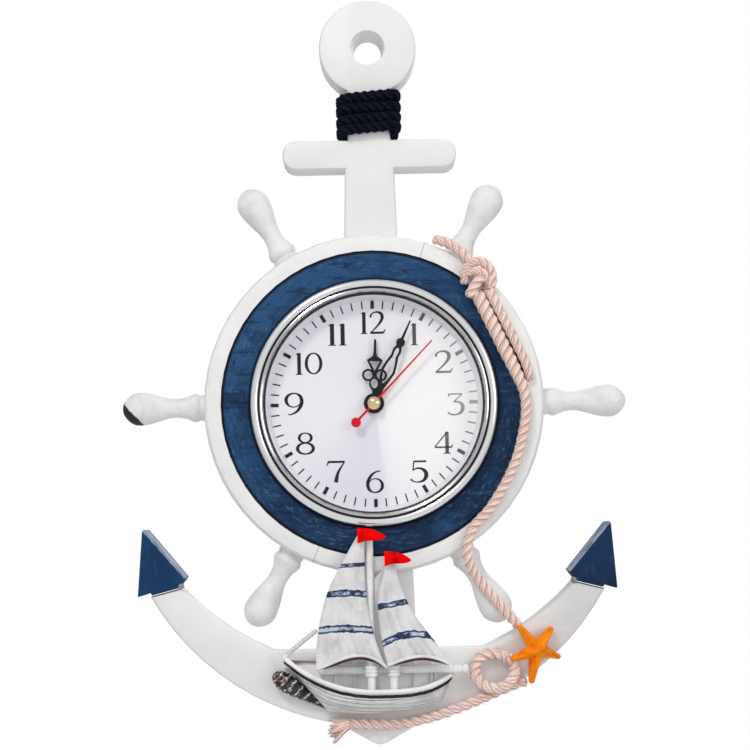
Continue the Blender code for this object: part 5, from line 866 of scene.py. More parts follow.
def winding_route():
    """Turns round the neck, each a little lower than the one before."""
    room = WINDING_R - 0.45
    half_x = NECK_HALF + room
    low, high = WINDING_R + WALL_ROOM, NECK_DEPTH + room
    middle, half_d = (low + high) / 2, (high - low) / 2
    loop = []
    for side_x, side_d, start in ((1, -1, -90), (1, 1, 0), (-1, 1, 90), (-1, -1, 180)):
        for i in range(5):
            angle = math.radians(start + 22.5 * i)
            loop.append((side_x * (half_x - CORNER_R) + CORNER_R * math.cos(angle),
                         middle + side_d * (half_d - CORNER_R) + CORNER_R * math.sin(angle)))
    flat = [(0.0, low)] + loop * WINDING_TURNS + [(0.0, low)]
    path = [0.0]
    for (x0, d0), (x1, d1) in zip(flat, flat[1:]):
        path.append(path[-1] + math.hypot(x1 - x0, d1 - d0))
    fall = WINDING_PITCH * WINDING_TURNS / path[-1]
    return [(x, WINDING_TOP - fall * run + 0.35 * math.sin(run * 0.06), depth)
            for (x, depth), run in zip(flat, path)]


def build_winding():
    navy = yarn("navy_rope", (0.0045, 0.0068, 0.0150), (0.0012, 0.0016, 0.0045), (0.010, 0.014, 0.028),
                sheen=0.0, specular=0.06)
    route = winding_route()
    parts = [rope_parts(route, WINDING_R, WINDING_LAY, rings=14, sides=WINDING_SIDES),
             fibres(route, WINDING_R, 240, 0.8, 7100)]
    # the end that is tucked under shows at the foot of each side
    for side in (-1, 1):
        tuck = ((side * 9.4, 128.6, 18.0), (side * 11.6, 127.0, 15.4), (side * 11.8, 125.8, 11.0),
                (side * 11.4, 125.4, 6.0))
        parts.append(rope_parts(tuck, 2.1, WINDING_LAY, sides=WINDING_SIDES, phase=0.7 * side))
    add_piece("rope_winding_laid", joined(parts), navy, "rope_winding")


build_ropes()
build_winding()


# Bezel, lens and dial markings

TURN_STEPS = 144
LENS_STEPS = 96
BEZEL_PROFILE = ((56.5, 24.3), (56.5, 26.2), (56.35, 27.5), (55.9, 28.5), (55.2, 29.15), (54.4, 29.45),
                 (53.6, 29.35), (53.0, 28.95), (52.7, 28.3), (52.62, 27.8), (52.42, 27.8), (52.3, 28.2),
                 (51.95, 28.75), (51.4, 28.95), (50.9, 28.7), (50.55, 28.1), (50.35, 27.5), (50.3, 27.2),
                 (50.9, 27.2), (51.3, 26.6), (51.3, 24.3))
# painted dark reflections and shadow in the bezel's grooves and at its outer edge: radius in metres, then
# tone by distance
CHROME_SHADE_BANDS = ((0.05252, ((0.28, 0.08), (0.62, 1.0))), (0.0502, ((0.10, 0.14), (0.50, 1.0))),
                (0.0566, ((0.10, 0.25), (0.40, 1.0))))
LENS_R = 50.55
LENS_BACK = 24.75
LENS_FRONT = 26.0
LENS_CROWN = 1.1
LENS_RINGS = 10
SLOPE_PROFILE = ((49.6, 19.35), (49.6, 23.9), (49.45, 24.0), (48.9, 23.6), (47.9, 20.6), (47.6, 19.8),
                 (47.5, 19.35))
INK_BACK = 19.32
INK_THICK = 0.05
TICK_OUTER_R = 47.4
TICK_LENGTH = 3.7
TICK_WIDTH = 0.60
HOUR_TICK_WIDTH = 1.65
DIGIT_HEIGHT = 10.2
DIGIT_SPACE = 0.12
STROKE_STEP = 0.035
OVAL_POINTS = 36
# strokes of each digit on a box of height 1, after its width: two points of x, height and line width
# are a straight stroke, more are a curve, and six numbers an oval's middle, radii, thin and thick width
DIGITS = {
    '0': (0.80, ((0.40, 0.50, 0.335, 0.462, 0.055, 0.145),)),
    '1': (0.30, (((0.155, 0.02, 0.165), (0.155, 0.985, 0.165)), ((0.155, 0.965, 0.05), (0.02, 0.915, 0.035)),
                 ((0.0, 0.02, 0.04), (0.31, 0.02, 0.04)))),
    '2': (0.74, (((0.045, 0.74, 0.10), (0.075, 0.86, 0.075), (0.20, 0.96, 0.06), (0.38, 0.985, 0.085),
                  (0.55, 0.905, 0.14), (0.60, 0.75, 0.155), (0.53, 0.56, 0.12), (0.32, 0.31, 0.075),
                  (0.05, 0.055, 0.05)),
                 ((0.03, 0.05, 0.10), (0.66, 0.05, 0.10)), ((0.655, 0.06, 0.08), (0.735, 0.21, 0.03)))),
    '3': (0.73, (((0.08, 0.955, 0.06), (0.64, 0.955, 0.06)), ((0.10, 0.965, 0.06), (0.065, 0.82, 0.03)),
                 ((0.63, 0.95, 0.055), (0.30, 0.605, 0.05)),
                 ((0.28, 0.59, 0.045), (0.46, 0.60, 0.075), (0.62, 0.50, 0.13), (0.66, 0.33, 0.155),
                  (0.59, 0.14, 0.125), (0.40, 0.03, 0.07), (0.18, 0.035, 0.06), (0.04, 0.13, 0.085)))),
    '4': (0.82, (((0.575, 0.98, 0.06), (0.03, 0.315, 0.05)), ((0.03, 0.295, 0.075), (0.76, 0.295, 0.075)),
                 ((0.74, 0.28, 0.07), (0.81, 0.42, 0.03)), ((0.56, 0.02, 0.155), (0.56, 0.985, 0.155)),
                 ((0.40, 0.02, 0.04), (0.72, 0.02, 0.04)))),
    '5': (0.76, (((0.17, 0.945, 0.085), (0.68, 0.945, 0.085)), ((0.175, 0.95, 0.05), (0.135, 0.545, 0.05)),
                 ((0.135, 0.545, 0.045), (0.28, 0.63, 0.07), (0.47, 0.62, 0.10), (0.63, 0.49, 0.155),
                  (0.67, 0.30, 0.165), (0.57, 0.10, 0.12), (0.37, 0.02, 0.065), (0.16, 0.045, 0.055),
                  (0.04, 0.15, 0.085)))),
    '6': (0.80, (((0.64, 0.975, 0.045), (0.50, 0.96, 0.06), (0.29, 0.84, 0.10), (0.13, 0.60, 0.14),
                  (0.085, 0.36, 0.15), (0.15, 0.14, 0.12), (0.33, 0.025, 0.06), (0.54, 0.05, 0.085),
                  (0.69, 0.20, 0.13), (0.705, 0.40, 0.13), (0.60, 0.57, 0.08), (0.43, 0.635, 0.05),
                  (0.25, 0.59, 0.045), (0.13, 0.46, 0.045)),)),
    '7': (0.84, (((0.09, 0.94, 0.095), (0.80, 0.94, 0.095)), ((0.10, 0.95, 0.07), (0.03, 0.77, 0.03)),
                 ((0.79, 0.92, 0.05), (0.62, 0.66, 0.08), (0.49, 0.40, 0.125), (0.41, 0.02, 0.185)))),
    '8': (0.85, ((0.425, 0.755, 0.265, 0.213, 0.05, 0.125), (0.425, 0.275, 0.345, 0.247, 0.06, 0.145))),
}
# a nine is a six turned round
DIGITS['9'] = (0.80, (tuple((0.79 - x, 1.0 - y, w) for x, y, w in DIGITS['6'][1][0]),))
# printed number, middle of it, and its width
NUMBERS = (('12', 0.2, 37.2, 11.3), ('1', 19.0, 31.6, 3.1), ('2', 32.3, 18.6, 8.0),
           ('3', 37.4, -0.9, 8.1), ('4', 31.5, -18.5, 8.7), ('5', 20.0, -31.4, 8.6),
           ('6', -0.2, -35.8, 8.5), ('7', -18.0, -30.9, 8.9), ('8', -31.8, -17.7, 8.9),
           ('9', -36.6, 0.5, 9.1), ('10', -29.5, 19.0, 12.2), ('11', -16.3, 32.1, 8.3))
# painted sheen and shade of the dial by the share of a turn round it
DIAL_PAINTED_SHEEN = (
    (0.0, (0.80, 0.80, 0.86)), (0.09, (0.97, 0.97, 0.99)), (0.24, (1.0, 1.0, 1.0)), (0.40, (0.99, 0.99, 1.0)),
    (0.468, (0.92, 0.92, 0.95)), (0.488, (0.78, 0.78, 0.85)), (0.55, (0.77, 0.77, 0.84)),
    (0.61, (0.82, 0.82, 0.88)), (0.66, (0.87, 0.87, 0.92)), (0.75, (0.88, 0.88, 0.93)),
    (0.90, (0.85, 0.85, 0.91)), (1.0, (0.84, 0.84, 0.90)))


def chrome(name):
    """Bright plating with a few hairline scratches, painted dark reflections in the grooves, a painted shadow
    at the outer edge and painted darker reflections toward the inner edge.
    """
    look = Finish(name, (0.90, 0.90, 0.91), 0.06, 1.0)
    _, _, radius = polar(look)
    tone = None
    for middle, stops in CHROME_SHADE_BANDS:
        beside = look.math('ABSOLUTE', look.math('SUBTRACT', radius, middle))
        painted_light_band = look.ramp(look.times(beside, 1000.0), stops)
        tone = look.shaded(tone, painted_light_band) if tone else painted_light_band
    # painted darker reflections toward the inner edge
    slope = look.ramp(look.scaled(radius, 200.0, -10.0), ((0.05, 0.55), (0.44, 0.72), (0.54, 1.0)))
    look.colour(look.shaded((0.92, 0.92, 0.93), look.shaded(tone, slope)))
    scratch = look.grain((260.0, 260.0, 260.0))
    look.rough(scratch, 0.10, 0.12)
    look.bump(scratch, 0.03, 0.0002)
    return look.material


def clear_lens(name):
    """Clear glass that keeps only a faint film and its reflections."""
    look = Finish(name, (0.75, 0.80, 0.86), 0.0)
    look.set('Alpha', 0.012)
    look.material.surface_render_method = 'BLENDED'
    look.set('Roughness', look.times(look.noise(300.0, 3.0, 0.6), 0.015))
    return look.material


def dial_face(name):
    """Brushed pale metal: soft sectors of painted sheen and shade that meet at the pin."""
    look = Finish(name, (0.80, 0.80, 0.85), 0.42)
    x, z, radius = polar(look)
    turn = look.math('FRACT', look.plus(look.math('DIVIDE', look.math('ARCTAN2', x, z), TAU), 1.0))
    grain = look.noise(1.0, 2.0, 0.5, look.join(turn, look.times(radius, 900.0), 0.0))
    look.colour(look.mix(look.times(grain, 0.08), look.ramp(turn, DIAL_PAINTED_SHEEN), (0.78, 0.78, 0.83)))
    look.rough(grain, 0.15, 0.36)
    look.bump(look.math('SINE', look.times(radius, TAU * 2400.0)), 0.02, 0.00003)
    return look.material


def ink(name):
    """Printed ink, with a painted glare that makes it paler toward the upper right."""
    look = Finish(name, (0.010, 0.010, 0.012), 0.6, 0.0, 0.12)
    x, _, z = look.from_dial()
    # painted glare: paler toward the right, most of all in the upper half
    painted_glare = look.ramp(look.scaled(x, 10.0, 0.5), ((0.60, 0.0), (0.84, 0.75), (0.95, 1.0)))
    level = look.ramp(look.scaled(z, 10.0, 0.5), ((0.18, 0.05), (0.32, 0.42), (0.50, 1.0), (0.70, 0.72)))
    tone = look.mix(look.times(painted_glare, level), (0.008, 0.008, 0.010), (0.42, 0.42, 0.44))
    speck = look.noise(3200.0, 2.0, 0.6)
    look.colour(look.cover(tone, speck, ((0.62, 0.0), (0.90, 0.12)), (0.20, 0.20, 0.22)))
    look.bump(speck, 0.08, 0.00003)
    return look.material


def stroke_line(stroke):
    """Points (x, height, width) along one stroke, and whether it closes on itself."""
    if not isinstance(stroke[0], tuple):
        cx, cy, rx, ry, thin, thick = stroke
        line = []
        for angle in angles(OVAL_POINTS):
            width = thin + (thick - thin) * abs(math.cos(angle)) ** 1.6
            line.append(Vector((cx + rx * math.cos(angle), cy + ry * math.sin(angle), width)))
        return line, True
    if len(stroke) == 2:
        return [Vector(point) for point in stroke], False
    return route_points(stroke, STROKE_STEP), False


def add_ribbon(form, line, closed, place):
    """A raised flat ribbon of varying width along a stroke."""
    points, faces = form
    base = len(points)
    count = len(line)
    around = line[-1:] + line + line[:1] if closed else line[:1] + line + line[-1:]
    for before, here, after in zip(around, line, around[2:]):
        along = Vector((after.x - before.x, after.y - before.y)).normalized()
        across = Vector((-along.y, along.x))
        for side in (0.5, -0.5):
            spot = place(here.x + across.x * here.z * side, here.y + across.y * here.z * side)
            points += [(*spot, INK_BACK), (*spot, INK_BACK + INK_THICK)]
    for i in range(count if closed else count - 1):
        a, b = base + i * 4, base + ((i + 1) % count) * 4
        faces += [(a + 1, a + 3, b + 3, b + 1), (a, b, b + 2, a + 2), (a, a + 1, b + 1, b),
                  (a + 2, b + 2, b + 3, a + 3)]
    if not closed:
        a, b = base, base + (count - 1) * 4
        faces += [(a, a + 2, a + 3, a + 1), (b, b + 1, b + 3, b + 2)]


def build_numbers(material):
    """The twelve printed numbers, each stretched to its own width."""
    form = [], []
    for text, x, height, width in NUMBERS:
        total = sum(DIGITS[c][0] for c in text) + DIGIT_SPACE * (len(text) - 1)
        stretch = width / (total * DIGIT_HEIGHT)
        start = 0.0
        for c in text:
            def place(u, v, left=start):
                return (x + ((left + u) - total / 2) * DIGIT_HEIGHT * stretch,
                        height + (v - 0.5) * DIGIT_HEIGHT)
            for stroke in DIGITS[c][1]:
                add_ribbon(form, *stroke_line(stroke), place)
            start += DIGITS[c][0] + DIGIT_SPACE
    add_piece("dial_numbers", form, material, smooth=False)


def build_ticks(material):
    """The minute marks, wider at each hour."""
    form = [], []
    for minute, angle in enumerate(angles(60)):
        out = Vector((math.sin(angle), math.cos(angle)))
        side = Vector((out.y, -out.x))

        def place(u, v, out=out, side=side):
            return tuple(out * v + side * u)
        width = TICK_WIDTH if minute % 5 else HOUR_TICK_WIDTH
        line = [Vector((0.0, reach, width)) for reach in (TICK_OUTER_R - TICK_LENGTH, TICK_OUTER_R)]
        add_ribbon(form, line, False, place)
    add_piece("dial_minutes", form, material, smooth=False)


def build_insert():
    """The clock's bezel, lens, cup and printed dial."""
    chromed = chrome("bezel_chrome")
    add_piece("bezel_ring", turned(BEZEL_PROFILE, TURN_STEPS), chromed, "bezel", soft=True)
    inner, outer = [], []
    sphere = (LENS_R ** 2 + LENS_CROWN ** 2) / (2 * LENS_CROWN)
    for ring in range(LENS_RINGS + 1):
        r = max(0.02, LENS_R * ring / LENS_RINGS)
        rise = math.sqrt(sphere ** 2 - r ** 2) - (sphere - LENS_CROWN)
        inner.append((r, LENS_BACK + rise))
        outer.append((r, LENS_FRONT + rise))
    glass = clear_lens("lens_glass")
    add_piece("lens_clear", turned(inner + outer[::-1], LENS_STEPS), glass, "lens", soft=True)
    slope = painted("cup_slope_paint", (0.80, 0.80, 0.84), 0.35).material
    add_piece("cup_slope", turned(SLOPE_PROFILE, TURN_STEPS), slope, soft=True)
    node_finish("dial", dial_face("dial_metal"))
    black = ink("dial_ink")
    build_numbers(black)
    build_ticks(black)


build_insert()


# Sailing boat

HULL_HALF = 38.2
HULL_MIDDLE = -5.1
HULL_FRONT = 30.1
HULL_END = 20.5
# place along the hull, from -1 to 1, where the rail is lowest
LOWEST_SHARE = 0.15
HULL_BACK = 17.6
SHEER_BOW = -115.8
SHEER_STERN = -124.4
SHEER_LOW = -131.2
KEEL_BOW_X = -23.6
KEEL_STERN_X = 28.0
KEEL_BOW = -138.5
KEEL_STERN = -135.5
KEEL_SAG = 2.5
RAIL_R = 1.1
RAIL_POINTS = 81
RAIL_LIFT = 0.55
LIP_R = 0.75
# where the hull's inner side lies in its paint
UV_INSIDE = 0.9
HULL_STATIONS = 64
PLANK_LINES = (0.34, 0.53, 0.72, 0.88)
# depth of a groove and of a lap between planks, as shares of a side that stands out this far
GROOVE_SHARE = 0.062
LAP_SHARE = 0.012
GROOVE_REACH = 12.5
GROOVE_SHARPNESS = 30
# how full the side is at shares of the way down from the rail
SECTION = ((0.0, 1.0), (0.3, 0.97), (0.62, 0.84), (0.86, 0.6), (1.0, 0.32))
SECTION_POINTS = 34


def sheer(share):
    """Height of the rail, from the bow at -1 to the stern at 1."""
    if share < LOWEST_SHARE:
        return SHEER_LOW + (SHEER_BOW - SHEER_LOW) * ((LOWEST_SHARE - share) / (1 + LOWEST_SHARE)) ** 2.25
    return SHEER_LOW + (SHEER_STERN - SHEER_LOW) * ((share - LOWEST_SHARE) / (1 - LOWEST_SHARE)) ** 3.5


def keel(x, top):
    """Height of the hull's lower edge: straight stem and stern, and a sagging keel between them."""
    bow, stern = HULL_MIDDLE - HULL_HALF, HULL_MIDDLE + HULL_HALF
    if x < KEEL_BOW_X:
        share = (x - bow) / (KEEL_BOW_X - bow)
        return SHEER_BOW + (KEEL_BOW - SHEER_BOW) * max(share, 0.0) - RAIL_R
    if x > KEEL_STERN_X:
        share = (x - KEEL_STERN_X) / (stern - KEEL_STERN_X)
        return min(KEEL_STERN + (SHEER_STERN - KEEL_STERN) * share, top) - RAIL_R
    share = (x - KEEL_BOW_X) / (KEEL_STERN_X - KEEL_BOW_X)
    return KEEL_BOW + (KEEL_STERN - KEEL_BOW) * share - KEEL_SAG * 4 * share * (1 - share) - RAIL_R


def side_depth(share):
    """How far the side stands out at the rail."""
    return HULL_END + (HULL_FRONT - HULL_END) * (1 - abs(share) ** 2.4)


def table_value(table, x):
    """Straight value between the rows of a table of (x, value)."""
    for (x0, y0), (x1, y1) in zip(table, table[1:]):
        if x <= x1:
            return y0 + (y1 - y0) * ((x - x0) / (x1 - x0))


def hull_paint():
    """Pale planks with painted shade along their seams, and one dark stripe under the rail with ragged edges.
    """
    look = resin_paint("boat_resin_planks", (0.74, 0.74, 0.73), (0.55, 0.55, 0.55))
    u, v = look.uv()
    ragged = look.noise(1.0, 3.0, 0.6, look.join(look.times(u, 22.0), 3.1, 0.0))
    edge = look.scaled(ragged, 0.055, look.plus(v, -0.027))
    stripe = look.ramp(edge, ((0.085, 0.0), (0.095, 1.0), (0.240, 1.0), (0.252, 0.0)))
    flecks = look.noise(420.0, 2.0, 0.6)
    paint = look.ramp(flecks, ((0.45, (0.004, 0.006, 0.010)), (0.72, (0.024, 0.034, 0.055))))
    groove = None
    for line in PLANK_LINES:
        near = look.math('ABSOLUTE', look.plus(look.scaled(ragged, 0.030, -0.015), look.plus(v, -line)))
        groove = look.math('MINIMUM', groove, near) if groove else near
    # painted shade along the grooves between the planks
    planks = look.cover(look.base, groove, ((0.006, 0.75), (0.022, 0.0)), (0.22, 0.22, 0.22))
    look.colour(look.mix(stripe, planks, paint))
    return look.material


def build_hull():
    points, uvs = [], []
    for number in range(HULL_STATIONS + 1):
        # stations crowd toward both ends, where the outline turns
        share = -math.cos(math.pi * number / HULL_STATIONS)
        x = HULL_MIDDLE + HULL_HALF * share
        top = sheer(share)
        foot = min(keel(x, top), top - 2 * RAIL_R)
        out = side_depth(share) - HULL_BACK
        ring = [(0.0, 0.0)]
        for i in range(SECTION_POINTS):
            down = i / (SECTION_POINTS - 1)
            reach = table_value(SECTION, down)
            for line in PLANK_LINES:
                groove = max(0.0, 1.0 - abs(down - line) * GROOVE_SHARPNESS)
                reach -= GROOVE_SHARE * groove * (GROOVE_REACH / max(out, 6.0))
                if down > line:
                    reach += LAP_SHARE
            ring.append((down, min(1.0, reach)))
        ring.append((1.0, 0.0))
        for down, reach in ring:
            points.append((x, top - (top - foot) * down, HULL_BACK + out * reach))
            uvs.append((share * 0.5 + 0.5, (top - foot) * down * UV_PER_MM if reach else UV_INSIDE))
    row = SECTION_POINTS + 2
    start, end = end_caps(HULL_STATIONS + 1, row)
    faces = quads(HULL_STATIONS + 1, row) + [start, end[::-1]]
    add_piece("hull_planked", (points, faces, uvs), hull_paint(), "boat_hull", soft=True)
    # the rail: a round bar of slightly uneven thickness, with a low deck lip behind it
    line, radii = [], []
    for number in range(RAIL_POINTS):
        share = -1 + 2 * number / (RAIL_POINTS - 1)
        line.append(Vector((HULL_MIDDLE + HULL_HALF * share, sheer(share) + RAIL_R * RAIL_LIFT,
                            side_depth(share))))
        radii.append(1.02 + 0.10 * math.sin(number * 0.9) * math.sin(number * 0.37))
    rail = [], [], []
    add_tube(rail, line, radii, 12)
    lip = [Vector((p.x, p.y - 0.15, p.z - 1.5)) for p in line[3:-3]]
    add_tube(rail, lip, [LIP_R] * len(lip))
    paint = resin_paint("rail_resin", (0.93, 0.93, 0.92), (0.80, 0.80, 0.80)).material
    add_piece("hull_rail", rail, paint)


# Sails: rows from head to foot of left edge, right edge and height
FORE_ROWS = ((-8.6, -5.2, -60.0), (-12.2, -5.5, -66.0), (-16.0, -5.6, -72.5), (-19.6, -5.6, -79.0),
             (-22.8, -5.2, -86.0), (-25.0, -4.4, -93.0), (-26.6, -3.2, -100.0), (-27.6, -1.6, -106.5),
             (-28.2, 0.4, -113.0), (-28.4, 3.4, -120.0))
AFT_ROWS = ((4.0, 7.9, -72.2), (1.8, 9.7, -80.5), (0.0, 12.5, -88.5), (0.2, 16.6, -96.5),
            (1.0, 22.0, -104.0), (2.0, 26.8, -110.5), (3.9, 31.6, -119.0))
# rise of each foot as a share of its width, and where it peaks
FORE_FOOT = (0.18, 0.61)
AFT_FOOT = (0.14, 0.55)
# where each fold lies across, and its size
FORE_FOLDS = ((0.16, 0.8), (0.36, 0.9), (0.58, 1.0), (0.80, 0.8))
AFT_FOLDS = ((0.22, 0.8), (0.48, 1.0), (0.75, 0.9))
SAIL_ACROSS = 44
SAIL_DOWN = 60
SAIL_THICK = 1.1
# width of a fold and of the thinner edge, height of a wrinkle, and where the foot starts to roll
FOLD_WIDTH = 1.5
EDGE_WIDTH = 0.8
WRINKLE = 0.10
ROLL_SHARE = 0.955
# distance at which a stripe's place stops counting, in its half widths
STRIPE_REACH = 4.0
CORD_POINTS = 41
CORD_R = 0.75
# stripes: height at x, as a start, a slope and a curve about a middle x, then the half width
FORE_STRIPES = ((-73.5, 0.05, 0.0, -11.8, 0.75), (-86.1, 0.0, -0.006, -14.7, 1.20),
                (-101.9, -0.01, -0.006, -15.4, 1.35))
AFT_STRIPES = ((-91.7, 0.17, 0.0, 5.0, 1.10), (-104.9, 0.09, -0.022, 14.0, 1.30))


def arch_rise(arch, peak, across):
    """Rise of a sail's foot at a share across, as a share of its width."""
    lift_at = across ** (math.log(0.5) / math.log(peak))
    return arch * (4 * lift_at * (1 - lift_at))


def stripe_place(stripes, x, y):
    """Distance to the nearest stripe's middle, of its half width."""
    return min(abs(y - (start + slope * (x - middle) + bend * (x - middle) ** 2)) / half
               for start, slope, bend, middle, half in stripes)


def sail_form(rows, back, stripes, foot, folds, billow, seed):
    """A billowed, folded sheet of resin with an arched foot that rolls outward."""
    points, uvs = [], []
    count = SAIL_ACROSS + 1
    for layer in (0, 1):
        for i in range(SAIL_DOWN + 1):
            share = i / SAIL_DOWN
            left, right, height = row_at(rows, share)
            for j in range(count):
                across = j / SAIL_ACROSS
                swell = 4 * across * (1 - across)
                fold = 0.0
                for number, (where, size) in enumerate(folds):
                    sway = 0.02 * math.sin(share * 5 + number)
                    offset = (across - where - sway) * (right - left) / FOLD_WIDTH
                    fold -= size * math.exp(-offset * offset * 2.0) * (0.4 + 0.6 * share)
                roll = max(0.0, (share - ROLL_SHARE) / 0.045) ** 2
                edge = min(across, 1 - across) * (right - left)
                thick = SAIL_THICK * (0.55 + 0.45 * min(1.0, edge / EDGE_WIDTH))
                wrinkle = WRINKLE * noise.noise(Vector((across * 9 + seed, share * 14, 0.0)))
                belly = billow * swell * math.sin(math.pi * min(1.0, share * 0.78 + 0.10))
                depth = back + belly + fold + roll + wrinkle
                x = left + (right - left) * across
                y = height + arch_rise(*foot, across) * share ** 5 * (right - left)
                points.append((x, y, depth + (thick if layer else 0.0)))
                uvs.append((min(STRIPE_REACH, stripe_place(stripes, x, y)) / STRIPE_REACH, across))
    block = (SAIL_DOWN + 1) * count
    faces = []
    for base in (0, block):
        faces += quads(SAIL_DOWN + 1, count, ring=False, base=base)
    sides = [(i * count + j, count) for i in range(SAIL_DOWN) for j in (0, SAIL_ACROSS)]
    ends = [(i * count + j, 1) for j in range(SAIL_ACROSS) for i in (0, SAIL_DOWN)]
    faces += [(a, a + step, a + step + block, a + block) for a, step in sides + ends]
    return points, faces, uvs


def sail_paint(name):
    """Pale resin with painted stripes of ragged edges, a painted highlight in patches along their middles,
    and painted shade in creases down the folds.
    """
    look = resin_paint(name, (0.79, 0.785, 0.79), (0.62, 0.60, 0.61))
    u, v = look.uv()
    ragged = look.scaled(look.noise(330.0), -1.5, 0.75)
    wide = look.times(look.plus(look.times(u, STRIPE_REACH), ragged), 1 / STRIPE_REACH)
    inside = look.ramp(wide, ((0.29, 1.0), (0.33, 0.0)))
    # painted highlight along the middle of each stripe, in patches
    stripe_highlight = look.ramp(wide, ((0.10, 1.0), (0.19, 0.0)))
    patch = look.ramp(look.noise(210.0), ((0.44, 0.0), (0.54, 1.0)))
    paint = look.mix(look.times(stripe_highlight, patch), (0.008, 0.028, 0.085), (0.52, 0.62, 0.76))
    seams = look.math('ABSOLUTE', look.math('SINE', look.times(v, math.pi * 8)))
    # painted shade in the creases
    crease_shade = look.times(look.ramp(seams, ((0.0, 1.0), (0.10, 0.0))), 0.40)
    look.colour(look.mix(crease_shade, look.mix(inside, look.base, paint), (0.45, 0.42, 0.45)))
    look.bump(seams, 0.12, 0.0004)
    return look.material


def build_sails():
    paint = sail_paint("sail_resin_striped")
    for node, details in (("fore_sail", (FORE_ROWS, 28.5, FORE_STRIPES, FORE_FOOT, FORE_FOLDS, 2.4, 1.0)),
                          ("aft_sail", (AFT_ROWS, 28.9, AFT_STRIPES, AFT_FOOT, AFT_FOLDS, 2.2, 5.0))):
        add_piece(node + "_folded", sail_form(*details), paint, node, soft=True)
    # raised cords along the foot of each sail, and behind them dark tubes of painted shadow under each foot
    cords, shadow_tubes = ([], [], []), ([], [], [])
    for rows, back, foot in ((FORE_ROWS, 29.9, FORE_FOOT), (AFT_ROWS, 30.2, AFT_FOOT)):
        left, right, height = rows[-1]
        line = []
        for j in range(CORD_POINTS):
            across = j / (CORD_POINTS - 1)
            line.append(Vector((left + (right - left) * across,
                                height + arch_rise(*foot, across) * (right - left) + 0.2,
                                back + 2.0 * 4 * across * (1 - across) * 0.75)))
        add_tube(cords, line, [CORD_R] * len(line), 12, outward=[UP] * len(line))
        inner = [place + Vector((0.0, -1.0, -1.0)) for place in line[4:-2]]
        last = len(inner) - 1
        radii = [0.9 * min(1.0, 0.2 + i / 9, 0.2 + (last - i) / 9) for i in range(last + 1)]
        add_tube(shadow_tubes, inner, radii, 12)
    look = resin_paint("foot_cord_resin", (0.82, 0.81, 0.81), (0.70, 0.69, 0.70))
    # painted shade on the cord's underside
    under = look.ramp(look.off(look.uv()[1], 0.52), ((0.09, 1.0), (0.15, 0.0)))
    look.colour(look.mix(look.times(under, 0.85), look.base, (0.055, 0.022, 0.022)))
    add_piece("sail_foot_cords", cords, look.material)
    dark = resin_paint("foot_hollow_resin", (0.085, 0.032, 0.032), (0.022, 0.010, 0.012)).material
    add_piece("sail_foot_shadows", shadow_tubes, dark)


STAY = ((-42.6, -114.4, 20.6), (-35.4, -108.5, 24.2), (-27.9, -102.6, 27.6))


def build_stay():
    white = yarn("white_cord", (0.95, 0.95, 0.95), (0.80, 0.79, 0.80), (1.0, 1.0, 1.0), 0.7, 0.2)
    add_piece("forestay_laid", rope_parts(STAY, 1.15, 4.6, rings=12), white, "forestay")


# places across of the ribs inside the hull, and the height of their heads
RIB_PLACES = (-27.0, -20.0, -11.0, 7.5, 16.0, 24.0)
RIB_TOP = -117.6
RIB_DEPTH = 18.4
RIB_RADII = (0.95, 0.85, 0.8, 0.8, 0.85, 0.95)


def build_ribs():
    """Short upright ribs between the boom and the rail, and the fitting that holds the stay."""
    form = [], [], []
    for number, x in enumerate(RIB_PLACES):
        foot = sheer((x - HULL_MIDDLE) / HULL_HALF) - 0.5
        lean = 0.3 * math.sin(number * 2.3)
        line = [Vector((x + lean * t, foot + (RIB_TOP - foot) * t, RIB_DEPTH))
                for t in (0.0, 0.2, 0.4, 0.6, 0.8, 1.0)]
        add_tube(form, line, RIB_RADII, 10)
    bow = Vector((HULL_MIDDLE - HULL_HALF, SHEER_BOW, HULL_END))
    line = [bow + Vector((0.2 + 0.35 * i, 0.4 + 0.45 * i, 0.2 + 0.1 * i)) for i in range(6)]
    add_tube(form, line, [1.15, 1.3, 1.0, 1.25, 1.0, 0.7], 12)
    paint = resin_paint("rib_resin", (0.92, 0.92, 0.91), (0.78, 0.77, 0.77)).material
    add_piece("hull_ribs", form, paint)


# The boom: height of its axis, depth, and places across with the radius there
BOOM_PLACE = (-121.5, 21.4)
BOOM_ROWS = ((-27.0, 1.4), (-26.5, 1.9), (33.8, 1.9), (34.2, 2.3), (34.6, 2.5), (35.5, 2.5),
             (35.8, 1.9), (36.1, 2.4), (36.9, 2.4), (37.2, 1.7), (37.6, 1.3), (37.9, 1.7),
             (38.5, 2.2), (39.3, 2.35), (40.0, 2.1), (40.5, 1.5), (40.75, 0.7))
BOOM_STEP = 1.2


def build_boom():
    height, back = BOOM_PLACE
    line, radii = [], []
    for (x, r), (end, end_r) in zip(BOOM_ROWS, BOOM_ROWS[1:]):
        steps = max(1, int((end - x) / BOOM_STEP))
        for i in range(steps):
            share = i / steps
            here = x + (end - x) * share
            line.append(Vector((here, height + 0.12 * math.sin(here * 0.31), back)))
            radii.append(r + (end_r - r) * share)
    line.append(Vector((BOOM_ROWS[-1][0], height, back)))
    radii.append(BOOM_ROWS[-1][1])
    form = [], [], []
    add_tube(form, line, radii, 20, outward=[UP] * len(line))
    look = resin_paint("boom_resin", (0.88, 0.88, 0.87), (0.74, 0.73, 0.73))
    # painted shadow in the angles above and below, broken along the beam
    _, v = look.uv()
    low = look.ramp(look.off(v, 0.53), ((0.07, 1.0), (0.12, 0.0)))
    broken = look.ramp(look.noise(90.0), ((0.40, 0.25), (0.60, 1.0)))
    high = look.ramp(v, ((0.03, 1.0), (0.06, 0.0), (0.90, 0.0), (0.95, 1.0)))
    edge = look.times(look.math('MAXIMUM', low, high), broken)
    look.colour(look.mix(look.times(edge, 0.8), look.base, (0.11, 0.05, 0.045)))
    add_piece("boom_turned", form, look.material, "boom")


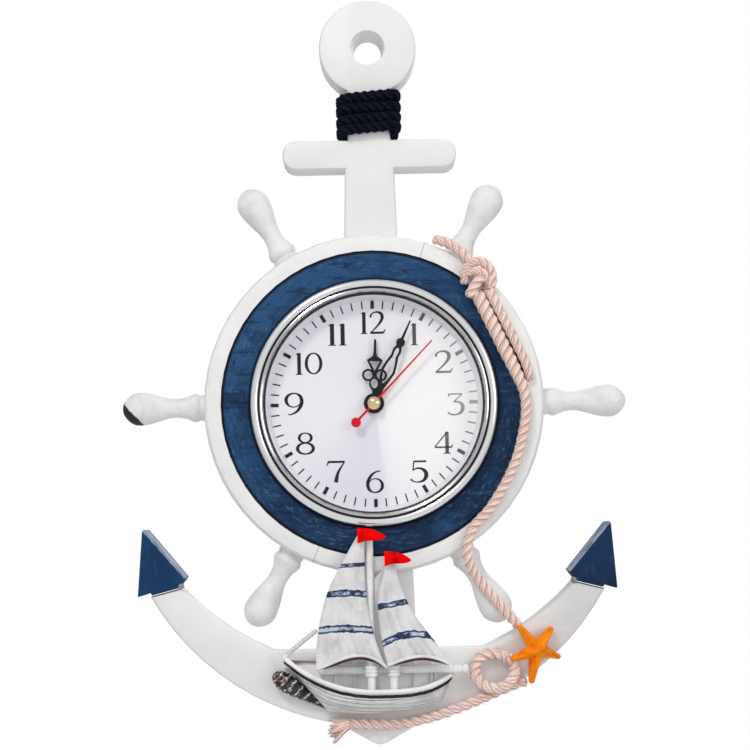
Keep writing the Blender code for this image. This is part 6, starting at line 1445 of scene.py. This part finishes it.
def panel_paint():
    """The panel behind the masts: pale, with a warm painted shadow under the sails, darker toward the top."""
    look = resin_paint("panel_resin", (0.99, 0.99, 0.98), (0.92, 0.92, 0.92))
    # painted shadow of the sails, warm and dark toward the panel's top
    high = look.scaled(look.from_dial()[2], 100.0, 12.25)
    tone = look.plus(high, look.scaled(look.noise(260.0, 3.0, 0.6), 0.22, -0.11))
    look.colour(look.cover(look.base, tone, ((0.34, 0.0), (0.50, 0.85)), (0.20, 0.10, 0.085)))
    return look.material


build_hull()
build_ribs()
build_boom()
build_sails()
build_stay()


# Turned handles of the wheel

HANDLE_ROOT = 77.4
HANDLE_LENGTH = 38.7
HANDLE_R = 7.5
HANDLE_DEPTH = 12.5
HANDLE_STEPS = 40
HANDLE_STATIONS = 72
# along the handle from the rim, and radius
HANDLE_ROWS = ((0.0, 0.80), (0.05, 0.81), (0.066, 0.745), (0.084, 0.81), (0.136, 0.885), (0.185, 0.79),
               (0.241, 0.67), (0.311, 0.595), (0.382, 0.585), (0.44, 0.62), (0.487, 0.68), (0.575, 0.81),
               (0.662, 0.92), (0.76, 1.0), (0.84, 0.985), (0.908, 0.82), (0.96, 0.55), (0.988, 0.33),
               (1.0, 0.04))
# the edge of the dark patch on one tip, and the way into the patch
PATCH_HANDLE = 3
PATCH_EDGE = (-111.5, -1.5)
PATCH_WAY = (-0.742, -0.670)


def handle_paint(name):
    return resin_paint(name, (0.84, 0.84, 0.83), (0.72, 0.72, 0.71))


def dipped_paint(name):
    """The handles' paint with a dark patch past a ragged line."""
    look = handle_paint(name)
    across, _, up = look.split(look.place.outputs['Object'])
    start = -(PATCH_EDGE[0] * PATCH_WAY[0] + (DIAL_Z / MM + PATCH_EDGE[1]) * PATCH_WAY[1])
    past = look.scaled(up, PATCH_WAY[1] / MM, look.scaled(across, PATCH_WAY[0] / MM, start))
    ragged = look.plus(past, look.scaled(look.noise(420.0, 3.0, 0.6), 1.2, -0.6))
    look.colour(look.cover(look.base, ragged, ((0.0, 0.0), (0.25, 1.0)), (0.012, 0.015, 0.022)))
    return look.material


def build_handles():
    plain = handle_paint("handle_paint").material
    dipped = dipped_paint("handle_paint_dipped")
    rows = HANDLE_STATIONS + 1
    for number, angle in enumerate(angles(6)):
        points = []
        for i in range(rows):
            along, share = row_at(HANDLE_ROWS, i / HANDLE_STATIONS)
            r = HANDLE_R * max(share, 0.03) * (1.0 + 0.008 * math.sin(7.0 * along + number))
            reach = HANDLE_ROOT + HANDLE_LENGTH * min(along, 1.0)
            for turn in angles(HANDLE_STEPS):
                side = r * math.cos(turn) * (1.0 + 0.012 * math.sin(3 * turn + 5.0 * along + number))
                points.append((reach * math.cos(angle) - side * math.sin(angle),
                               reach * math.sin(angle) + side * math.cos(angle),
                               HANDLE_DEPTH + r * math.sin(turn)))
        form = points, quads(rows, HANDLE_STEPS) + end_caps(rows, HANDLE_STEPS)
        material = dipped if number == PATCH_HANDLE else plain
        add_piece("handle_turned_%d" % (number + 1), form, material, "handle_%d" % (number + 1))


# Starfish

STAR_CENTRE = (71.8, -113.5)
STAR_BACK = 19.5
STAR_TILT = math.radians(18.0)
STAR_THICK = 6.2
STAR_HEART = 4.0
STAR_TIP = 1.4
# direction of each arm and its length
STAR_ARMS = ((127.0, 14.2), (50.0, 12.6), (-17.0, 12.2), (-104.0, 15.8), (-159.0, 13.6))
STAR_RAYS = 240
STAR_RINGS = 22
# the resin's uneven skin: height, scale and place of each noise
STAR_SKIN = ((0.30, 1.5, 3.0), (0.20, 3.4, 8.0))


def star_height(x, y):
    """Height of the ridged arms over a point, below zero outside them."""
    best, total = -1.0, 0.0
    for degrees, length in STAR_ARMS:
        turn = math.radians(degrees)
        way = (math.cos(turn), math.sin(turn))
        along = max(0.0, min(length - STAR_TIP, x * way[0] + y * way[1]))
        share = along / (length - STAR_TIP)
        sway = 0.05 * length * math.sin(turn * 3.0) * share * share
        gap = math.hypot(x - along * way[0] + sway * way[1], y - along * way[1] - sway * way[0])
        inside = 1.0 - gap / (STAR_HEART + (STAR_TIP - STAR_HEART) * share ** 0.75)
        best = max(best, inside)
        if inside > 0:
            total += (inside ** 0.72 * (1.0 - 0.42 * share)) ** 4
    return total ** 0.25 if best > 0 else best


def star_reach(turn):
    """Distance from the heart to the outline, found by halving."""
    near, far = 1.0, 20.0
    for _ in range(30):
        middle = (near + far) / 2
        if star_height(middle * math.cos(turn), middle * math.sin(turn)) > 0:
            near = middle
        else:
            far = middle
    return near


def build_star():
    """The ridged star: rays from its heart to its outline, a rim and a flat back."""
    points, faces = [], []

    def put(x, y, h):
        points.append((STAR_CENTRE[0] + x * math.cos(STAR_TILT) + h * math.sin(STAR_TILT), STAR_CENTRE[1] + y,
                       STAR_BACK + h * math.cos(STAR_TILT) - x * math.sin(STAR_TILT)))

    put(0.0, 0.0, STAR_THICK * star_height(0.0, 0.0))
    for turn in angles(STAR_RAYS):
        out = star_reach(turn)
        for j in range(1, STAR_RINGS + 1):
            reach = out * (1.0 - (1.0 - j / STAR_RINGS) ** 1.5)
            x, y = reach * math.cos(turn), reach * math.sin(turn)
            h = STAR_THICK * max(0.0, star_height(x, y)) if j < STAR_RINGS else 0.0
            grain = sum(high * noise.noise(Vector((x * scale, y * scale, z))) for high, scale, z in STAR_SKIN)
            put(x, y, max(0.0, h + grain * min(1.0, h)) + (0.5 if j < STAR_RINGS else 0.3))
        put(out * 0.97 * math.cos(turn), out * 0.97 * math.sin(turn), -0.3)
    row = STAR_RINGS + 1
    for i in range(STAR_RAYS):
        a = 1 + i * row
        b = 1 + (i + 1) % STAR_RAYS * row
        faces.append((0, a, b))
        faces += [(a + j, a + j + 1, b + j + 1, b + j) for j in range(row - 1)]
    faces.append(tuple(i * row + row for i in range(STAR_RAYS)))
    look = Finish("star_resin", (0.90, 0.215, 0.008), 0.55, 0.0, 0.12)
    grit = look.cells(1500.0)
    cloud = look.noise(240.0, 4.0, 0.65)
    base = look.ramp(cloud, ((0.34, (0.80, 0.150, 0.002)), (0.48, (1.0, 0.250, 0.002)),
                             (0.66, (1.0, 0.36, 0.006))))
    look.colour(look.cover(base, grit, ((0.02, 0.5), (0.30, 0.0)), (1.0, 0.42, 0.03)))
    look.bump(cloud, 0.5, 0.0005)
    look.bump(grit, 0.4, 0.0003)
    add_piece("starfish_sculpted", (points, faces), look.material, "starfish")


# Sea shell: a tall spiral with knobbed whorls and an open mouth

SHELL_BLUNT = Vector((-48.3, -122.6, 19.6))
SHELL_POINT = Vector((-23.6, -139.4, 17.0))
SHELL_R = 4.5
SHELL_WHORLS = 6.4
SHELL_STATIONS = 150
SHELL_STEPS = 72
SHELL_ROWS = ((0.0, 0.10), (0.02, 0.42), (0.07, 0.72), (0.15, 0.93), (0.24, 1.0), (0.36, 0.92), (0.50, 0.74),
              (0.65, 0.53), (0.80, 0.31), (0.92, 0.14), (1.0, 0.03))
MOUTH_STEPS = 32
MOUTH_LONG = 2.9
MOUTH_WIDE = 1.55
# across the mouth's lip: reach as a share of its half width, and rise
MOUTH_ROWS = ((1.0, 0.0), (1.12, 0.35), (1.08, 0.75), (0.92, 0.95), (0.74, 0.70), (0.55, 0.15), (0.30, -0.15),
              (0.05, -0.3))


def shell_paint():
    """Black whorls, with pale flecks and a broken pale streak along each whorl's middle."""
    look = Finish("shell", (0.02, 0.018, 0.018), 0.28)
    u, v = look.uv()
    lap = look.math('FRACT', look.times(look.plus(u, -0.2), 8.0))
    flecks = look.cells(1.0, look.join(look.times(u, 12.0), look.times(v, 9.0), 0.0))
    spots = look.ramp(flecks, ((0.16, 1.0), (0.24, 0.0)))
    broken = look.noise(1.0, 3.0, 0.6, look.join(look.times(u, 30.0), look.times(v, 22.0), 1.0))
    beside = look.off(lap, 0.5)
    crown = look.ramp(beside, ((0.05, 1.0), (0.17, 0.0)))
    streaks = look.times(look.ramp(broken, ((0.48, 0.0), (0.54, 1.0))), crown)
    seam = look.ramp(beside, ((0.30, 1.0), (0.46, 0.25)))
    cloud = look.noise(160.0, 3.0, 0.6)
    tint = look.ramp(cloud, ((0.45, (0.006, 0.005, 0.006)), (0.70, (0.05, 0.035, 0.035))))
    pale = look.cover((0.84, 0.81, 0.79), look.noise(230.0), ((0.52, 0.0), (0.60, 0.9)), (0.62, 0.40, 0.34))
    look.colour(look.mix(look.times(look.math('MAXIMUM', spots, streaks), seam), tint, pale))
    look.bump(look.math('SINE', look.times(v, TAU * 54)), 0.25, 0.0003)
    look.bump(streaks, 0.3, 0.0003)
    return look.material


def build_shell():
    """The shell's whorls, and its mouth."""
    axis = SHELL_POINT - SHELL_BLUNT
    length = axis.length
    axis.normalize()
    side = axis.cross(OUT).normalized()
    front = side.cross(axis)
    points, uvs = [], []
    for i in range(SHELL_STATIONS + 1):
        along, share = row_at(SHELL_ROWS, i / SHELL_STATIONS)
        along = min(max(along, 0.0), 1.0)
        for j in range(SHELL_STEPS + 1):
            turn = TAU * j / SHELL_STEPS
            whorl = SHELL_WHORLS * (1.0 - (1.0 - along) ** 1.45) - j / SHELL_STEPS
            crest = abs(math.sin(math.pi * whorl)) ** 0.55
            knob = math.sin(9.0 * turn + 2.0 * math.floor(whorl)) * 0.5 + 0.5
            r = SHELL_R * share * (0.80 + 0.16 * crest + 0.05 * crest * knob)
            points.append(tuple(SHELL_BLUNT + axis * (length * along) + side * (r * math.cos(turn))
                                + front * (r * math.sin(turn))))
            uvs.append((whorl / 8.0 + 0.2, j / SHELL_STEPS))
    faces = quads(SHELL_STATIONS + 1, SHELL_STEPS + 1, ring=False)
    add_piece("sea_shell_spiral", (points, faces, uvs), shell_paint(), "sea_shell")
    # the mouth: a rolled lip round a hollow
    points, faces = [], []
    facing = (-axis * 0.45 + front * 0.85 - side * 0.25).normalized()
    long_way = (axis - facing * axis.dot(facing)).normalized()
    cross_way = facing.cross(long_way)
    centre = SHELL_BLUNT + axis * 3.2 + front * 2.5 - side * 0.4
    count = len(MOUTH_ROWS)
    for j, turn in enumerate(angles(MOUTH_STEPS)):
        for reach, rise in MOUTH_ROWS:
            a = MOUTH_LONG * reach * math.cos(turn)
            b = MOUTH_WIDE * reach * math.sin(turn) * (1.0 + 0.18 * math.cos(turn))
            points.append(tuple(centre + long_way * a + cross_way * b + facing * rise))
        a, b = j * count, (j + 1) % MOUTH_STEPS * count
        faces += [(a + i, b + i, b + i + 1, a + i + 1) for i in range(count - 1)]
    look = Finish("shell_mouth", (0.72, 0.40, 0.32), 0.3)
    bands = look.noise(300.0, 3.0)
    look.colour(look.ramp(bands, ((0.40, (0.05, 0.018, 0.016)), (0.62, (0.52, 0.28, 0.23)))))
    look.bump(bands, 0.2, 0.0003)
    add_piece("sea_shell_mouth", (points, faces), look.material)


# Pennants: small rolled flags at the mast heads

PENNANT_COLUMNS = 28
PENNANT_SIDES = 14
# each pennant's node, start and end across, top, foot and depth
PENNANTS = (("main_pennant", -8.7, 4.2, -56.9, -63.7, 31.1), ("aft_pennant", 3.3, 15.4, -67.6, -74.2, 31.4))


def build_pennants():
    look = Finish("pennant_red", (0.80, 0.001, 0.001), 0.5, 0.0, 0.04)
    cloud = look.noise(260.0, 3.0, 0.6)
    look.colour(look.ramp(cloud, ((0.34, (0.42, 0.0, 0.0)), (0.46, (0.84, 0.0, 0.0)),
                                  (0.72, (0.95, 0.002, 0.002)))))
    look.bump(cloud, 0.5, 0.0005)
    rows = PENNANT_COLUMNS + 1
    for node, start, end, top, low, back in PENNANTS:
        points = []
        for i in range(rows):
            share = i / PENNANT_COLUMNS
            x = start + (end - start) * share
            narrow = (1.0 - share ** 1.9) ** 0.8
            tall = (top - low) * 0.5 * narrow * (1.0 - 0.12 * math.sin(share * 5.0)) + 0.12
            centre = (top + low) / 2 + 0.5 * math.sin(share * 4.2) - 0.4 * share
            swell = 0.75 * (1.0 - share ** 4) + 0.10
            wave = 0.35 * math.sin(share * 7.0)
            for turn in angles(PENNANT_SIDES):
                points.append((x, centre + tall * math.cos(turn), back + 1.05 + wave + swell * math.sin(turn)
                               + 0.2 * noise.noise(Vector((x * 0.8, math.cos(turn) * 2.0, 5.0)))))
        form = points, quads(rows, PENNANT_SIDES) + end_caps(rows, PENNANT_SIDES)
        add_piece(node + "_rolled", form, look.material, node, soft=True)


# Stubs of the pegs that hold the flukes

STUBS = (("fluke_left_stub", -90.2, -82.0), ("fluke_right_stub", 90.2, -82.4))
STUB_PROFILE = ((0.0, 15.9), (0.7, 15.85), (1.15, 15.6), (1.35, 15.2), (1.40, 13.5), (0.0, 13.5))
STUB_STEPS = 20


def build_stubs():
    paint = resin_paint("stub_paint", (0.30, 0.31, 0.31), (0.10, 0.11, 0.12)).material
    for name, x, height in STUBS:
        add_piece(name, turned(STUB_PROFILE, STUB_STEPS, (x, height)), paint)


build_stubs()
build_handles()
build_star()
build_shell()
build_pennants()


# Finishes of the frame's own solids

EVEN_GRAIN = (300.0, 300.0, 300.0)
FLUKE_GRAIN = (160.0, 160.0, 60.0)
FINISHES = (
    (anchor_paint("white_wood"), ("anchor_body",)),
    (rim_paint("rim_wood"), ("wheel_rim",)),
    (navy_ring_paint("navy_wood"), ("navy_ring",)),
    (navy_fluke_paint("navy_fluke", FLUKE_GRAIN, (0.0125, 0.062, 0.172), (0.03, 0.085, 0.17)),
     ("fluke_left", "fluke_right")),
    (moulded("black_plastic", (0.022, 0.022, 0.024), 0.42),
     ("insert_cup", "movement_case", "movement_cover", "setting_knob")),
    (moulded("gear_plastic", (0.78, 0.77, 0.72), 0.40),
     ("middle_plate", "second_wheel", "third_wheel", "intermediate_wheel", "hour_wheel", "motion_wheel")),
    (metal("gear_brass", (0.78, 0.56, 0.24), 0.28), ("centre_wheel", "cannon_pinion", "fixing_nut")),
    (metal("rotor_magnet", (0.22, 0.22, 0.24), 0.42), ("rotor",)),
    (metal("motor_steel", (0.50, 0.50, 0.52), 0.35), ("stator",)),
    (metal("contact_nickel", (0.72, 0.72, 0.73), 0.24), ("contact_plus", "contact_minus")),
    (metal("hanger_steel", (0.66, 0.67, 0.69), 0.34), ("wall_hanger", "nail_left", "nail_right")),
    (copper_wire("coil_copper"), ("coil",)),
    (moulded("board_plastic", (0.012, 0.13, 0.045), 0.4), ("circuit_board",)),
    (moulded("battery_jacket", (0.05, 0.22, 0.09), 0.28), ("battery",)),
    (moulded("hand_black", (0.004, 0.004, 0.005), 0.45, 0.06), ("hour_hand", "minute_hand")),
    (moulded("hand_red", (0.66, 0.002, 0.012), 0.45, 0.08), ("second_hand",)),
    (metal("cap_brass", (0.90, 0.72, 0.42), 0.10, EVEN_GRAIN), ("centre_cap",)),
    (resin_paint("boat_resin", (0.92, 0.92, 0.91), (0.76, 0.75, 0.75)).material,
     ("main_mast", "aft_mast", "boom")),
    (panel_paint(), ("hull_panel",)),
    (resin_paint("sail_resin", (0.82, 0.81, 0.82), (0.66, 0.64, 0.65)).material, ("staysail",)),
)
for material, nodes in FINISHES:
    for node in nodes:
        node_finish(node, material)
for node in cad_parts.values():
    group_modifier(node, SOFT)
# worn edges of the painted boards
for node in ("fluke_left", "fluke_right"):
    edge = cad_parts[node].modifiers.new("worn_edge", 'BEVEL')
    edge.width = 0.7 * MM
    edge.segments = 3
    edge.limit_method = 'ANGLE'
    edge.angle_limit = math.radians(50.0)
    edge.use_clamp_overlap = True
    edge.harden_normals = True
FULLER = fuller_group("fuller_outline", 0.08)
for node in ("hour_hand", "minute_hand"):
    group_modifier(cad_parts[node], FULLER)

make_camera()
make_light()
make_floor()
